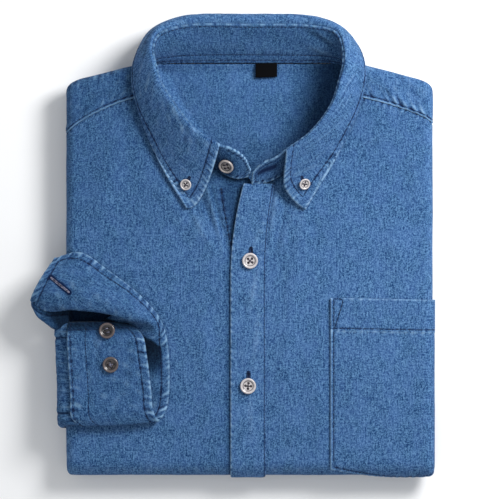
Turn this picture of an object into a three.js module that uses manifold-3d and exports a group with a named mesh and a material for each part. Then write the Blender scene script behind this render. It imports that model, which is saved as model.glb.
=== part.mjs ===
// A denim shirt folded as it is sold: it lies on its back, front up, collar points buttoned down,
// one cuff turned over the front. Millimetres, +X to the shirt's left, +Y to the collar, +Z up.
// The origin is on the flat underside, below the middle of the folded body.
import * as THREE from 'three';
import { mergeVertices } from 'three/addons/utils/BufferGeometryUtils.js';
import Module from 'manifold-3d';

const wasm = await Module();
wasm.setup();

// Driving dimensions of the folded body
const halfWidth = 132.5;
const hemY = -148.4;
const shoulderY = 148.7;
const frontTop = 24;
const sideRound = 7;
const hemRound = 11.7;
const shoulderSlope = 0.25;
const shoulderFlatHalf = 82;

// Cloth and seams
const clothWall = 1.2;
const standWall = 2;
const leafWall = 1.7;
const cuffWall = 1.8;
const seamGap = 0.35;
const liningDepth = clothWall + 0.45;

// How far the cloth wraps round the folds, in degrees from the flat top
const sideWrap = 150;
const hemWrap = 115;

// Front opening
const placketLeft = -13.6;
const placketRight = 11.2;
const placketWall = 1.5;
const placketBendStart = -6;
const frontJoin = 9;

// Neck recess
const recessFloor = 8.9;
const neckBackY = 147.4;

const radians = THREE.MathUtils.degToRad;
const vector = (x, y, z) => new THREE.Vector3(x, y, z);

// Where each fold starts and where the cloth that goes round it ends, as lengths over the cloth
const sideStart = halfWidth - sideRound;
const hemStart = hemY + hemRound;
const shoulderStart = shoulderY - sideRound;
const sideEnd = sideStart + sideRound * radians(sideWrap);
const hemEnd = hemStart - hemRound * radians(hemWrap);
const shoulderEnd = shoulderStart + sideRound * radians(sideWrap);

// Soft ridges of the fronts: a ridge has a centre, a length along its heading, a width and a height.
const FRONT_RIDGES = [
  // x, y, heading, length, width, height
  [34, 2, 84, 90, 15, 0.9],
  [48, -92, 97, 60, 12, 1.0],
  [27, -60, 88, 70, 14, 0.8],
  [-32, -70, 93, 80, 12, 1.0],
  [-26, 20, 72, 60, 16, 0.8],
  [-50, 42, 128, 60, 14, 1.1],
  [72, 50, 52, 70, 16, 1.1],
  [104, 22, 100, 70, 15, 0.9],
  [-104, 66, 80, 80, 16, 1.0],
];

function ridgeHeight(x, y) {
  let height = 0;
  for (const [centreX, centreY, heading, length, width, top] of FRONT_RIDGES) {
    const along = (x - centreX) * Math.cos(radians(heading)) + (y - centreY) * Math.sin(radians(heading));
    const across = -(x - centreX) * Math.sin(radians(heading)) + (y - centreY) * Math.cos(radians(heading));
    height += top * Math.exp(-((2 * along / length) ** 2) - (2 * across / width) ** 2);
  }
  return height;
}

// Shoulder line: level beside the neck, then falling to the sides.
function shoulderShift(x) {
  const beyond = Math.max(0, Math.abs(x) - shoulderFlatHalf);
  const corner = Math.max(0, Math.abs(x) - 120);
  return -shoulderSlope * beyond - 0.02 * corner ** 2;
}

const shoulderShare = (along) => THREE.MathUtils.smoothstep(along, 60, 140);

// A point on the folded body. `across` and `along` are lengths measured over the cloth from the middle,
// so past the flat top they run round the side fold, the hem fold or the shoulder fold.
function bodyPoint(across, along, lift) {
  const endRound = along < 0 ? hemRound : sideRound;
  const sideAngle = Math.max(0, Math.abs(across) - sideStart) / sideRound;
  const endAngle = Math.max(0, hemStart - along, along - shoulderStart) / endRound;
  const angle = (sideAngle ** 4 + endAngle ** 4) ** 0.25;
  const turn = angle > 0 ? Math.sin(angle) / angle : 1;
  const flatX = Math.min(Math.abs(across), sideStart);
  const flatY = THREE.MathUtils.clamp(along, hemStart, shoulderStart);
  const x = Math.sign(across) * (flatX + (sideRound + lift) * turn * sideAngle);
  const y = flatY + Math.sign(along) * (endRound + lift) * turn * endAngle;
  const squares = sideAngle ** 2 + endAngle ** 2;
  const round = squares > 0 ? (sideRound * sideAngle ** 2 + endRound * endAngle ** 2) / squares : sideRound;
  const z = frontTop + lift - (round + lift) * (1 - Math.cos(angle));
  return vector(x, y + shoulderShift(x) * shoulderShare(along), z);
}

// The same point over the cloth, with the soft ridges of the front.
function frontPoint(across, along, lift) {
  return bodyPoint(across, along, lift + ridgeHeight(across, along));
}

// Even steps through each stretch of a run, such as a flat part and then a fold.
function steps(...stretches) {
  const values = [stretches[0].from];
  for (const { from, to, count } of stretches) {
    for (let step = 1; step <= count; step += 1) values.push(THREE.MathUtils.lerp(from, to, step / count));
  }
  return values;
}

const sideFold = { from: sideStart, to: sideEnd, count: 6 };
const hemFold = { from: hemEnd, to: hemStart, count: 6 };

// A closed wall between two grids of points that have the same rows and columns.
// With `ring` the columns close on themselves, so the wall is a tube.
function wallGeometry(outer, inner, ring = false) {
  const rows = outer.length;
  const columns = outer[0].length;
  const positions = [];
  for (const grid of [outer, inner]) {
    for (const row of grid) {
      for (const point of row) positions.push(point.x, point.y, point.z);
    }
  }
  const outerIndex = (row, column) => row * columns + (column % columns);
  const innerIndex = (row, column) => rows * columns + outerIndex(row, column);
  const triangles = [];
  const quad = (a, b, c, d) => triangles.push(a, b, c, a, c, d);
  const lastColumn = ring ? columns : columns - 1;
  for (let row = 0; row < rows - 1; row += 1) {
    for (let column = 0; column < lastColumn; column += 1) {
      quad(outerIndex(row, column), outerIndex(row, column + 1),
        outerIndex(row + 1, column + 1), outerIndex(row + 1, column));
      quad(innerIndex(row, column), innerIndex(row + 1, column),
        innerIndex(row + 1, column + 1), innerIndex(row, column + 1));
    }
  }
  for (let column = 0; column < lastColumn; column += 1) {
    quad(outerIndex(0, column), innerIndex(0, column), innerIndex(0, column + 1), outerIndex(0, column + 1));
    quad(outerIndex(rows - 1, column), outerIndex(rows - 1, column + 1),
      innerIndex(rows - 1, column + 1), innerIndex(rows - 1, column));
  }
  for (let row = 0; row < rows - 1 && !ring; row += 1) {
    quad(outerIndex(row, 0), outerIndex(row + 1, 0), innerIndex(row + 1, 0), innerIndex(row, 0));
    quad(outerIndex(row, columns - 1), innerIndex(row, columns - 1),
      innerIndex(row + 1, columns - 1), outerIndex(row + 1, columns - 1));
  }
  return facingOut(positions, triangles);
}

// Turns every triangle over if the closed shape would otherwise face inwards.
function facingOut(positions, triangles) {
  const corner = (index) => vector(...positions.slice(3 * index, 3 * index + 3));
  let volume = 0;
  for (let start = 0; start < triangles.length; start += 3) {
    const [a, b, c] = triangles.slice(start, start + 3).map(corner);
    volume += a.dot(b.cross(c)) / 6;
  }
  if (volume < 0) {
    for (let start = 0; start < triangles.length; start += 3) {
      [triangles[start + 1], triangles[start + 2]] = [triangles[start + 2], triangles[start + 1]];
    }
  }
  const geometry = new THREE.BufferGeometry();
  geometry.setAttribute('position', new THREE.Float32BufferAttribute(positions, 3));
  geometry.setIndex(triangles);
  return geometry;
}

// A wall that lies on the body: its inner face at `lift`, its outer face one wall further out.
function wallOnBody(acrossAt, alongAt, rows, columns, lift, wall, surface = frontPoint) {
  const grid = (height) => rows.map((row) => columns.map((column) => (
    surface(acrossAt(row, column), alongAt(row, column), height))));
  return wallGeometry(grid(lift + wall), grid(lift));
}

// A wall of even thickness on both sides of, or to one side of, a free surface of points.
function wallAlongNormals(points, wall, startShare, ring = false) {
  const rows = points.length;
  const columns = points[0].length;
  const at = (row, column) => points[THREE.MathUtils.clamp(row, 0, rows - 1)][
    ring ? (column + columns) % columns : THREE.MathUtils.clamp(column, 0, columns - 1)];
  const offset = (share) => points.map((line, row) => line.map((point, column) => {
    const down = at(row + 1, column).clone().sub(at(row - 1, column));
    const over = at(row, column + 1).clone().sub(at(row, column - 1));
    return point.clone().addScaledVector(down.cross(over).normalize(), wall * share);
  }));
  return wallGeometry(offset(startShare), offset(startShare - 1), ring);
}

function toManifold(geometry) {
  const plain = geometry.clone();
  plain.deleteAttribute('normal');
  plain.deleteAttribute('uv');
  const merged = mergeVertices(plain, 1e-4);
  return new wasm.Manifold(new wasm.Mesh({
    numProp: 3,
    vertProperties: new Float32Array(merged.attributes.position.array),
    triVerts: new Uint32Array(merged.index.array),
  }));
}

function fromManifold(solid) {
  const mesh = solid.getMesh();
  const geometry = new THREE.BufferGeometry();
  geometry.setAttribute('position', new THREE.BufferAttribute(new Float32Array(mesh.vertProperties), 3));
  geometry.setIndex(new THREE.BufferAttribute(new Uint32Array(mesh.triVerts), 1));
  return geometry;
}

const cutAway = (geometry, tool) => fromManifold(toManifold(geometry).subtract(toManifold(tool)));

// Collar sections, from the end of the stand on the shirt's right round the back to the other end.
// Foot and top belong to the stand's outside. The leaf leaves the top, passes its belly and ends at its edge.
const COLLAR_SECTIONS = [
  // foot, top, reach of the leaf above the top, belly, edge
  [[-1.5, 67, 27], [0.5, 71.5, 31]],
  [[-8, 66, 26], [-4, 80.5, 36]],
  [[-16, 68, 25.5], [-13, 86.5, 39.5]],
  [[-25.5, 74.5, 25], [-22, 89, 41], 9, [-28.5, 68, 33.5], [-45.5, 45.5, 26.8]],
  [[-41, 91, 24.3], [-39.5, 100, 42.5], 8, [-49.5, 85, 35.5], [-59, 68.5, 26.8]],
  [[-58.5, 114, 23.5], [-55.5, 120, 43], 7, [-64.5, 108, 37.5], [-71.5, 94.5, 26.6]],
  [[-68, 130, 22.5], [-64.5, 135, 42.5], 7, [-74, 127, 38.5], [-78.5, 116, 26.6]],
  [[-71.5, 142, 20], [-68.5, 149, 41], 7, [-78.5, 144, 36], [-81.5, 137, 27.2]],
  [[-69, 148, 16.5], [-70, 158, 38], 7, [-77.5, 158.5, 31], [-80, 152.5, 22.8]],
  [[-58, 149.5, 13.3], [-66, 169, 34.5], 8, [-71.5, 173, 21], [-69, 166, 5]],
  [[-40, 149.5, 12.3], [-48, 176, 30], 11, [-50, 182.5, 18.5], [-46, 171.5, 2.4]],
  [[0, 149.5, 12], [0, 177, 28], 12, [0, 184.4, 18], [0, 172.5, 2.4]],
  [[40, 149.5, 12.3], [47, 175.7, 30], 11, [50, 182, 18.5], [47, 171, 2.4]],
  [[58, 149.5, 13.3], [62.5, 171, 34], 8, [70, 172.5, 21], [69, 165.5, 5]],
  [[69, 147, 16.5], [67.5, 160, 38], 7, [76, 159.5, 31], [79, 152.5, 22.8]],
  [[72, 141, 20], [68, 149, 41], 7, [77.5, 144, 36], [80.5, 137, 27.2]],
  [[69.5, 126, 22.5], [64.5, 134, 42.5], 7, [73, 130, 38.5], [78.5, 120, 26.6]],
  [[60.5, 107.5, 23.8], [58.5, 117, 43], 7, [66.5, 111, 37.5], [72, 102, 26.6]],
  [[45, 88.5, 24.7], [44, 98, 42.5], 8, [52, 88.5, 35.5], [58.5, 76, 26.8]],
  [[29, 73, 25.4], [27, 86, 41], 9, [28.5, 64, 33.5], [39.5, 45, 26.8]],
  [[17, 65, 26], [19, 80.5, 38]],
  [[8.5, 62.5, 26.5], [9.5, 76.5, 34.5]],
  [[2, 61, 27], [2.5, 70, 31.5]],
].map(([foot, top, reach, belly, edge]) => ({ foot, top, reach, belly, edge }));

const curveThrough = (points) => (
  new THREE.CatmullRomCurve3(points.map((point) => vector(...point)), false, 'centripetal'));

const collarFoot = curveThrough(COLLAR_SECTIONS.map((section) => section.foot));
const collarTop = curveThrough(COLLAR_SECTIONS.map((section) => section.top));

// The stand leans by the line from its foot to its top, slightly hollow towards the neck.
function standPoint(place, height) {
  return collarFoot.getPoint(place).lerp(collarTop.getPoint(place), height);
}

function collarStand() {
  const stations = 72;
  const heights = [0, 0.34, 0.67, 1];
  const rows = [];
  for (let station = 0; station <= stations; station += 1) {
    rows.push(heights.map((height) => standPoint(station / stations, height)));
  }
  return wallAlongNormals(rows, standWall, 1);
}

// The leaf: a cubic from the stand's top, going on in the stand's own direction, through the belly.
function leafProfile(section, steps) {
  const foot = vector(...section.foot);
  const top = vector(...section.top);
  const lean = top.clone().sub(foot).normalize();
  const root = top.clone().addScaledVector(lean, seamGap + 0.5);
  const rise = root.clone().addScaledVector(lean, section.reach);
  const edge = vector(...section.edge);
  const approach = vector(...section.belly).addScaledVector(root, -0.125).addScaledVector(rise, -0.375)
    .addScaledVector(edge, -0.125).divideScalar(0.375);
  return new THREE.CubicBezierCurve3(root, rise, approach, edge).getPoints(steps);
}

function collarLeaf() {
  const steps = 9;
  const sections = COLLAR_SECTIONS.filter((section) => section.edge);
  const profiles = sections.map((section) => leafProfile(section, steps));
  const lines = profiles[0].map((_, step) => curveThrough(profiles.map((profile) => profile[step].toArray())));
  const stations = 52;
  const rows = [];
  for (let station = 0; station <= stations; station += 1) {
    rows.push(lines.map((line) => line.getPoint(station / stations)));
  }
  return wallAlongNormals(rows, leafWall, 0.5);
}

// The neck opening in plan: the stand's foot line, moved out, and carried past the back edge.
function neckCutter(clearance, bottom) {
  const middle = new THREE.Vector2(0, 120);
  const line = collarFoot.getPoints(66).map(({ x, y }) => {
    const point = new THREE.Vector2(x, y);
    return point.addScaledVector(point.clone().sub(middle).normalize(), clearance);
  });
  const pastBack = 175;
  const reaches = line.map((point) => point.x);
  const widestRight = reaches.indexOf(Math.min(...reaches));
  const widestLeft = reaches.indexOf(Math.max(...reaches));
  const outline = [
    ...line.slice(0, widestRight + 1),
    new THREE.Vector2(reaches[widestRight], pastBack),
    new THREE.Vector2(reaches[widestLeft], pastBack),
    ...line.slice(widestLeft),
  ];
  const prism = new THREE.ExtrudeGeometry(new THREE.Shape(outline), { depth: 60, bevelEnabled: false });
  return prism.translate(0, 0, bottom);
}

// Hidden layers: one rounded solid with a flat underside. Its edge profile is a table of insets and heights,
// one for the sides and shoulders, one for the hem, where the front wraps lower.
function layersProfile() {
  const lobe = (round, wrapAngles) => wrapAngles.map((angle) => ({
    inset: round - (round - liningDepth) * Math.sin(radians(angle)),
    z: frontTop - round + (round - liningDepth) * Math.cos(radians(angle)),
  }));
  const sideUpper = lobe(sideRound, [0, 25, 50, 75, 90, 110, 130, 150]);
  const hemUpper = lobe(hemRound, [0, 20, 40, 60, 80, 95, 108, 120]);
  // side inset, side z, hem inset, hem z: the grooves and the two lower layers
  const lower = [
    [10.5, 12, 5.5, 6.8],
    [10.5, 9.9, 5.5, 6.4],
    [4.5, 9.5, 4, 6.2],
    [2.3, 8.6, 3.1, 6],
    [1.5, 7.2, 2.7, 5.6],
    [2.2, 5.7, 3, 5.2],
    [4, 5.1, 4.4, 5],
    [7, 4.9, 7, 4.85],
    [7, 4.6, 7, 4.6],
    [4, 4.4, 4, 4.4],
    [2.2, 3.4, 2.2, 3.4],
    [1.8, 2.2, 1.8, 2.2],
    [2.4, 0.9, 2.4, 0.9],
    [4, 0, 4, 0],
  ];
  const upper = sideUpper.map((side, index) => [side.inset, side.z, hemUpper[index].inset, hemUpper[index].z]);
  return [...upper, ...lower];
}

function foldedLayers() {
  const cornerRound = 5;
  const cornerSteps = 5;
  const sideSteps = 4;
  // corner x and y signs, then the angle at which its arc starts
  const corners = [[1, -1, -90], [1, 1, 0], [-1, 1, 90], [-1, -1, 180]];
  const rows = layersProfile().map(([sideInset, sideZ, hemInset, hemZ]) => {
    const halfX = halfWidth - sideInset;
    const row = [];
    const anchors = corners.map(([signX, signY]) => vector(signX * (halfX - cornerRound),
      signY > 0 ? shoulderY - sideInset - cornerRound : hemY + hemInset + cornerRound, 0));
    corners.forEach(([, signY, startAngle], index) => {
      for (let step = 0; step <= cornerSteps; step += 1) {
        const angle = radians(startAngle + 90 * step / cornerSteps);
        const hemShare = signY < 0 ? Math.max(0, -Math.sin(angle)) : 0;
        const x = anchors[index].x + cornerRound * Math.cos(angle);
        const y = anchors[index].y + cornerRound * Math.sin(angle);
        row.push(vector(x, y, THREE.MathUtils.lerp(sideZ, hemZ, hemShare)));
      }
      const next = corners[(index + 1) % 4];
      const from = row[row.length - 1];
      const nextAngle = radians(next[2]);
      const nextAnchor = anchors[(index + 1) % 4];
      const nextX = nextAnchor.x + cornerRound * Math.cos(nextAngle);
      const nextY = nextAnchor.y + cornerRound * Math.sin(nextAngle);
      const to = vector(nextX, nextY, from.z);
      const count = index === 1 ? 2 * sideSteps : sideSteps;
      for (let step = 1; step < count; step += 1) row.push(from.clone().lerp(to, step / count));
    });
    return row.map((point) => point.setY(point.y + shoulderShift(point.x) * shoulderShare(point.y)));
  });
  const columns = rows[0].length;
  const positions = rows.flat().flatMap((point) => point.toArray());
  const triangles = [];
  const at = (row, column) => row * columns + (column % columns);
  for (let row = 0; row < rows.length - 1; row += 1) {
    for (let column = 0; column < columns; column += 1) {
      triangles.push(at(row, column), at(row + 1, column), at(row + 1, column + 1));
      triangles.push(at(row, column), at(row + 1, column + 1), at(row, column + 1));
    }
  }
  for (const [row, flip] of [[0, false], [rows.length - 1, true]]) {
    const outline = rows[row].map((point) => new THREE.Vector2(point.x, point.y));
    for (const [a, b, c] of THREE.ShapeUtils.triangulateShape(outline, [])) {
      triangles.push(at(row, a), at(row, flip ? c : b), at(row, flip ? b : c));
    }
  }
  return cutAway(facingOut(positions, triangles), neckCutter(1.2, recessFloor));
}

// The yoke's front seam: it falls from the neck to the side, more steeply on the shirt's right.
function yokeSeam(x) {
  const beyond = Math.abs(x) - 78;
  const curl = x < 0 ? 0.0043 : 0.0017;
  return 125.5 - 0.2 * beyond - curl * Math.max(0, beyond) ** 2;
}

// Where along the cloth the seam lies, allowing for the slope of the shoulder line there.
function yokeSeamAlong(across) {
  const x = Math.sign(across) * Math.min(Math.abs(across), halfWidth);
  const y = yokeSeam(x);
  return y - shoulderShift(x) * shoulderShare(y);
}

// The front edge leans to the shirt's left above the first button.
function placketBend(along, top) {
  const rise = Math.max(0, along - placketBendStart) / (63 - placketBendStart);
  return top * rise ** 2;
}

function frontPanel(side) {
  const topAlong = 126;
  const bendFrom = -20;
  const inner = (along) => frontJoin + placketBend(along, 7) + (side > 0 ? 2 * seamGap : 0);
  const flatShares = steps({ from: 0, to: 1, count: 9 }).map((share) => ({ share, reach: sideStart }));
  const foldReaches = steps(sideFold).slice(1).map((reach) => ({ share: 1, reach }));
  const acrossAt = (row, { share, reach }) => side * THREE.MathUtils.lerp(side * inner(row), reach, share);
  const alongAt = (row, column) => {
    const across = acrossAt(row, column);
    const retreat = hemEnd + 0.9 * Math.max(0, Math.abs(across) - sideStart);
    const seam = yokeSeamAlong(Math.abs(across) < 78 ? side * 78 : across) - seamGap / 2;
    if (row <= bendFrom) return Math.max(row, retreat);
    return THREE.MathUtils.mapLinear(row, bendFrom, topAlong, bendFrom, seam);
  };
  const rows = steps(hemFold, { from: hemStart, to: topAlong, count: 18 });
  const panel = wallOnBody(acrossAt, alongAt, rows, [...flatShares, ...foldReaches], -clothWall, clothWall);
  return cutAway(panel, neckCutter(0.4, recessFloor + 6));
}

function frontPlacket() {
  const rows = steps(hemFold, { from: hemStart, to: 62, count: 22 });
  const columns = [0, 0.08, 0.5, 0.92, 1];
  const acrossAt = (row, column) => THREE.MathUtils.lerp(
    placketLeft + placketBend(row, 9.5), placketRight + placketBend(row, 6.5), column);
  const band = wallOnBody(acrossAt, (row) => row, rows, columns, seamGap, placketWall);
  return cutAway(band, neckCutter(0.4, recessFloor + 6));
}

function yokeStrip(side) {
  const columns = steps({ from: 60, to: sideStart, count: 6 }, sideFold).map((reach) => side * reach);
  const flatRows = steps({ from: 0, to: 1, count: 4 }).map((share) => ({ share, along: shoulderStart }));
  const shoulderFold = steps({ from: shoulderStart, to: shoulderEnd, count: 6 });
  const foldRows = shoulderFold.slice(1).map((along) => ({ share: 1, along }));
  const alongAt = ({ share, along }, across) => {
    const seam = yokeSeamAlong(Math.abs(across) < 78 ? side * 78 : across) + seamGap / 2;
    const retreat = shoulderEnd - 0.9 * Math.max(0, Math.abs(across) - sideStart);
    return THREE.MathUtils.lerp(seam, Math.min(along, retreat), share);
  };
  const rows = [...flatRows, ...foldRows];
  const strip = wallOnBody((row, column) => column, alongAt, rows, columns, -clothWall, clothWall);
  return cutAway(strip, neckCutter(0.4, recessFloor - 3));
}

// The yoke's inside, seen through the neck: a shallow dish between the stand's feet.
function yokeInside() {
  const outline = neckCutter(-0.35 - standWall, 0);
  const bottom = recessFloor + 0.5;
  const dish = (x, y) => 0.9 * Math.exp(-(((x + 26) / 24) ** 2) - ((y - 112) / 30) ** 2)
    + 0.8 * Math.exp(-(((x - 38) / 20) ** 2) - ((y - 100) / 26) ** 2);
  const rows = [];
  for (let row = 0; row <= 9; row += 1) {
    const line = [];
    for (let column = 0; column <= 12; column += 1) {
      const x = -78 + 13 * column;
      const y = THREE.MathUtils.lerp(58, neckBackY, row / 9);
      line.push(vector(x, y, bottom + 1.1 + dish(x, y)));
    }
    rows.push(line);
  }
  const under = rows.map((line) => line.map((point) => point.clone().setZ(point.z - 1.1)));
  const plate = wallGeometry(rows, under);
  return fromManifold(toManifold(plate).intersect(toManifold(outline)));
}

// Breast pocket: on the shirt's left front, round the side fold and over the hem, its foot pointed.
function chestPocket() {
  const pocketLeft = 58.6;
  const pocketTop = -20;
  const pointAcross = 112;
  const pocketFoot = -142.6;
  const pointDrop = 12;
  const foot = (across) => {
    const towardsPoint = 1 - Math.abs(across - pointAcross) / (pointAcross - pocketLeft);
    return pocketFoot - pointDrop * THREE.MathUtils.clamp(towardsPoint, 0, 1);
  };
  const columns = steps({ from: pocketLeft, to: sideStart, count: 6 }, { ...sideFold, to: sideEnd - 2 });
  const top = (across) => pocketTop - 0.02 * (across - pocketLeft);
  const footRows = steps({ from: 0, to: 1, count: 5 }).map((share) => ({ share, part: 0 }));
  const upperRows = steps({ from: 0, to: 1, count: 7 }).slice(1).map((part) => ({ share: 1, part }));
  const alongAt = ({ share, part }, across) => {
    const flat = Math.max(hemStart, foot(across) + 4);
    return THREE.MathUtils.lerp(THREE.MathUtils.lerp(foot(across), flat, share), top(across), part);
  };
  return wallOnBody((row, column) => column, alongAt, [...footRows, ...upperRows], columns, seamGap, clothWall);
}

// Cuff sections, from the buttonhole end along the band to the button end, on its middle surface:
// wrist edge, crest, lip and the seam to the sleeve.
const CUFF_SECTIONS = [
  [[-140, 8.5, 26.2], [-149, -6, 33.5], [-154.5, -16.5, 33.5], [-156.5, -21.5, 30.5]],
  [[-122, 12.5, 26.2], [-135, -9, 37], [-143, -23, 36], [-146, -28.5, 31.5]],
  [[-101, -1, 26.2], [-112, -15, 39], [-121, -27.5, 37.5], [-123.5, -27, 30.5]],
  [[-82, -15.5, 26.2], [-92, -23.5, 39], [-102, -30, 37.5], [-108, -27, 29.5]],
  [[-69.5, -28.5, 26.2], [-76, -32, 37], [-85, -35, 36.5], [-96, -30, 29]],
  [[-62.5, -40, 26.2], [-68, -41, 32.5], [-75, -40, 29], [-104, -36, 27]],
  [[-59, -57, 26.2], [-72, -57.5, 27], [-92, -57.5, 26.3], [-113.5, -57.5, 26.2]],
  [[-58.3, -84, 26.2], [-75, -85, 26.4], [-94, -85.5, 26.2], [-113, -86, 26.2]],
  [[-60.5, -100, 26.3], [-78, -102, 26.4], [-96, -102.5, 26.3], [-114.6, -103, 26.3]],
  [[-65.5, -107.3, 29.8], [-83, -109.6, 30.1], [-101, -110.6, 30.1], [-119.2, -111, 29.9]],
  [[-69.5, -100.5, 33.4], [-87, -103, 33.9], [-106, -104, 34], [-125, -105, 33.6]],
  [[-71, -86, 33.6], [-88, -87.5, 34.2], [-107, -88.5, 34.2], [-126, -89.5, 33.7]],
  [[-74, -62, 33.5], [-90, -63, 34], [-109, -63.5, 34], [-128, -64, 33.5]],
  [[-77.5, -46, 32.6], [-93, -46.5, 33], [-110, -46.8, 33], [-127.3, -47, 32.9]],
  [[-87, -38, 31.2], [-100, -37.4, 31.6], [-112, -37.2, 31.6], [-124, -37.5, 31.2]],
].map(([wrist, crest, lip, seam]) => ({ wrist, crest, lip, seam }));

const cuffLines = ['wrist', 'crest', 'lip', 'seam'].map((name) => (
  curveThrough(CUFF_SECTIONS.map((section) => section[name]))));

function cuffBand() {
  const widthSteps = 7;
  const stations = 44;
  const rows = [];
  for (let station = 0; station <= stations; station += 1) {
    const across = cuffLines.map((line) => line.getPoint(station / stations));
    rows.push(new THREE.CatmullRomCurve3(across, false, 'centripetal').getPoints(widthSteps));
  }
  return wallAlongNormals(rows, cuffWall, 0.5);
}

// Sleeve: a flattened tube from the gap in the body's side, round the side fold, to the cuff's seam.
// Its lower layer reaches further under the cuff, and its end follows the slant of the cuff's seam.
const SLEEVE_SECTIONS = [
  { across: -126, under: -115.4, slant: 1, upper: -37.5, lower: -111, lift: 1.4, height: 8.5 },
  { across: -129.4, under: -121, slant: 0.55, upper: -38.5, lower: -111.5, lift: 0.9, height: 8.2 },
  { across: -132, under: -127, slant: 0.2, upper: -40, lower: -112, lift: 0.5, height: 7.4 },
  { across: -134.7, under: -132, slant: 0, upper: -41.5, lower: -113, lift: 0.5, height: 6.2 },
  { across: -137.5, under: -136.5, slant: 0, upper: -42.5, lower: -114, lift: 0.5, height: 4.8 },
  { across: -140.5, under: -140.5, slant: 0, upper: -43, lower: -114.5, lift: 0.5, height: 3.9 },
  { across: -143.5, under: -143.5, slant: 0, upper: -43, lower: -114.5, lift: 0.5, height: 3.4 },
];
const cuffSeamSlant = 0.075;

function sleeveTube() {
  const wall = 1.1;
  const flatSteps = 8;
  const ring = ({ across, under, slant, upper, lower, lift, height }, shrink) => {
    const round = height / 2;
    const small = round - shrink;
    const place = (y, up) => {
      const share = THREE.MathUtils.clamp(up / height, 0, 1);
      const top = across - slant * cuffSeamSlant * (y - lower);
      return bodyPoint(THREE.MathUtils.lerp(under, top, share), y, lift + up);
    };
    const cap = (y, side) => [0.3, 0.5, 0.7].map((part) => place(
      y + side * small * Math.sin(Math.PI * part), round + side * small * Math.cos(Math.PI * part)));
    const run = (from, to, up) => steps({ from, to, count: flatSteps }).map((y) => place(y, up));
    return [
      ...run(upper - round, lower + round, height - shrink),
      ...cap(lower + round, -1).reverse(),
      ...run(lower + round, upper - round, shrink),
      ...cap(upper - round, 1).reverse(),
    ];
  };
  const outer = SLEEVE_SECTIONS.map((section) => ring(section, 0));
  const inner = SLEEVE_SECTIONS.map((section) => ring(section, wall));
  return wallGeometry(outer, inner, true);
}

// The sleeve's slit edge: it carries on from the seam of the cuff's turned end and tucks in beside the body.
function sleeveSlit() {
  const stations = 7;
  const lastPlace = 0.105;
  const rows = [];
  for (let station = 0; station <= stations; station += 1) {
    const [, , lip, seam] = cuffLines.map((line) => line.getPoint(lastPlace * station / stations));
    const onward = seam.clone().sub(lip).normalize();
    const start = seam.clone().addScaledVector(onward, seamGap + 0.15);
    const fold = start.clone().addScaledVector(onward, 7).add(vector(0.5, -2.5, 0));
    const tuck = start.clone().add(vector(4.5, -6, -9));
    rows.push(new THREE.QuadraticBezierCurve3(start, fold, tuck).getPoints(5));
  }
  return wallAlongNormals(rows, clothWall, 0.5);
}

// A sewn-through button: raised rim, hollow face and four holes, its back on the plane z = 0.
function buttonGeometry(diameter) {
  const radius = diameter / 2;
  const profile = [
    [0, 0], [0.82, 0], [1, 0.16], [1, 0.26], [0.9, 0.36], [0.74, 0.3], [0.62, 0.22], [0, 0.2],
  ].map(([out, up]) => new THREE.Vector2(out * radius, up * radius));
  const disc = new THREE.LatheGeometry(profile, 20).rotateX(Math.PI / 2);
  const holeRadius = 0.13 * radius;
  const holeSpread = 0.27 * radius;
  let solid = toManifold(facingOut([...disc.attributes.position.array], [...disc.index.array]));
  for (const [signX, signY] of [[1, 1], [-1, 1], [-1, -1], [1, -1]]) {
    const hole = new THREE.CylinderGeometry(holeRadius, holeRadius, 2 * radius, 6).rotateX(Math.PI / 2);
    hole.translate(signX * holeSpread, signY * holeSpread, 0);
    solid = solid.subtract(toManifold(hole));
  }
  return fromManifold(solid);
}

const BUTTONS = [
  // node name, diameter, centre x, y, z of its back, tilt about x and y in degrees, spin
  { name: 'button_neck', diameter: 11, place: [-16.6, 75.1, 31.3], tilt: [38.7, -15.8], spin: 20 },
  { name: 'button_collar_right', diameter: 8.2, place: [-45.6, 61.8, 28.9], tilt: [15.8, -13.1], spin: 10 },
  { name: 'button_collar_left', diameter: 8.2, place: [39.4, 62.2, 30.4], tilt: [23.1, 19], spin: 30 },
  { name: 'button_front_1', diameter: 11.4, place: [0.4, 7, 26.3], tilt: [0, 0], spin: 5 },
  { name: 'button_front_2', diameter: 11.4, place: [-1, -83, 26.3], tilt: [0, 0], spin: 40 },
  { name: 'button_cuff_1', diameter: 11.4, place: [-101.9, -43, 34.1], tilt: [-7.4, 0], spin: 20 },
  { name: 'button_cuff_2', diameter: 11.4, place: [-99.2, -67.2, 35.5], tilt: [-1.6, 0], spin: 60 },
];

// Size label: a small folded tape hanging from the stand's lower edge inside the neck, left plain.
function neckLabel() {
  const rows = [[4.4, 147.6, 13.6], [4.6, 144, 12.7], [4.9, 140, 12.5]];
  const width = 15.4;
  const slant = 0.6;
  const points = rows.map(([x, y, z]) => (
    [0, 0.5, 1].map((share) => vector(x + share * width, y + slant * share, z))));
  return wallAlongNormals(points, 0.8, 0.5);
}

const DENIM = { color: 0x49709f, roughness: 0.88, metalness: 0 };
const DENIM_INSIDE = { color: 0x46698f, roughness: 0.9, metalness: 0 };
const PEARL = { color: 0xc9ced2, roughness: 0.3, metalness: 0 };
const SMOKE = { color: 0x9c9a9a, roughness: 0.35, metalness: 0 };
const TAPE = { color: 0x101114, roughness: 0.7, metalness: 0 };

const shirt = new THREE.Group();

function addPiece(name, geometry, finish) {
  const mesh = new THREE.Mesh(geometry, new THREE.MeshStandardMaterial(finish));
  mesh.name = name;
  shirt.add(mesh);
  return mesh;
}

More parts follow.
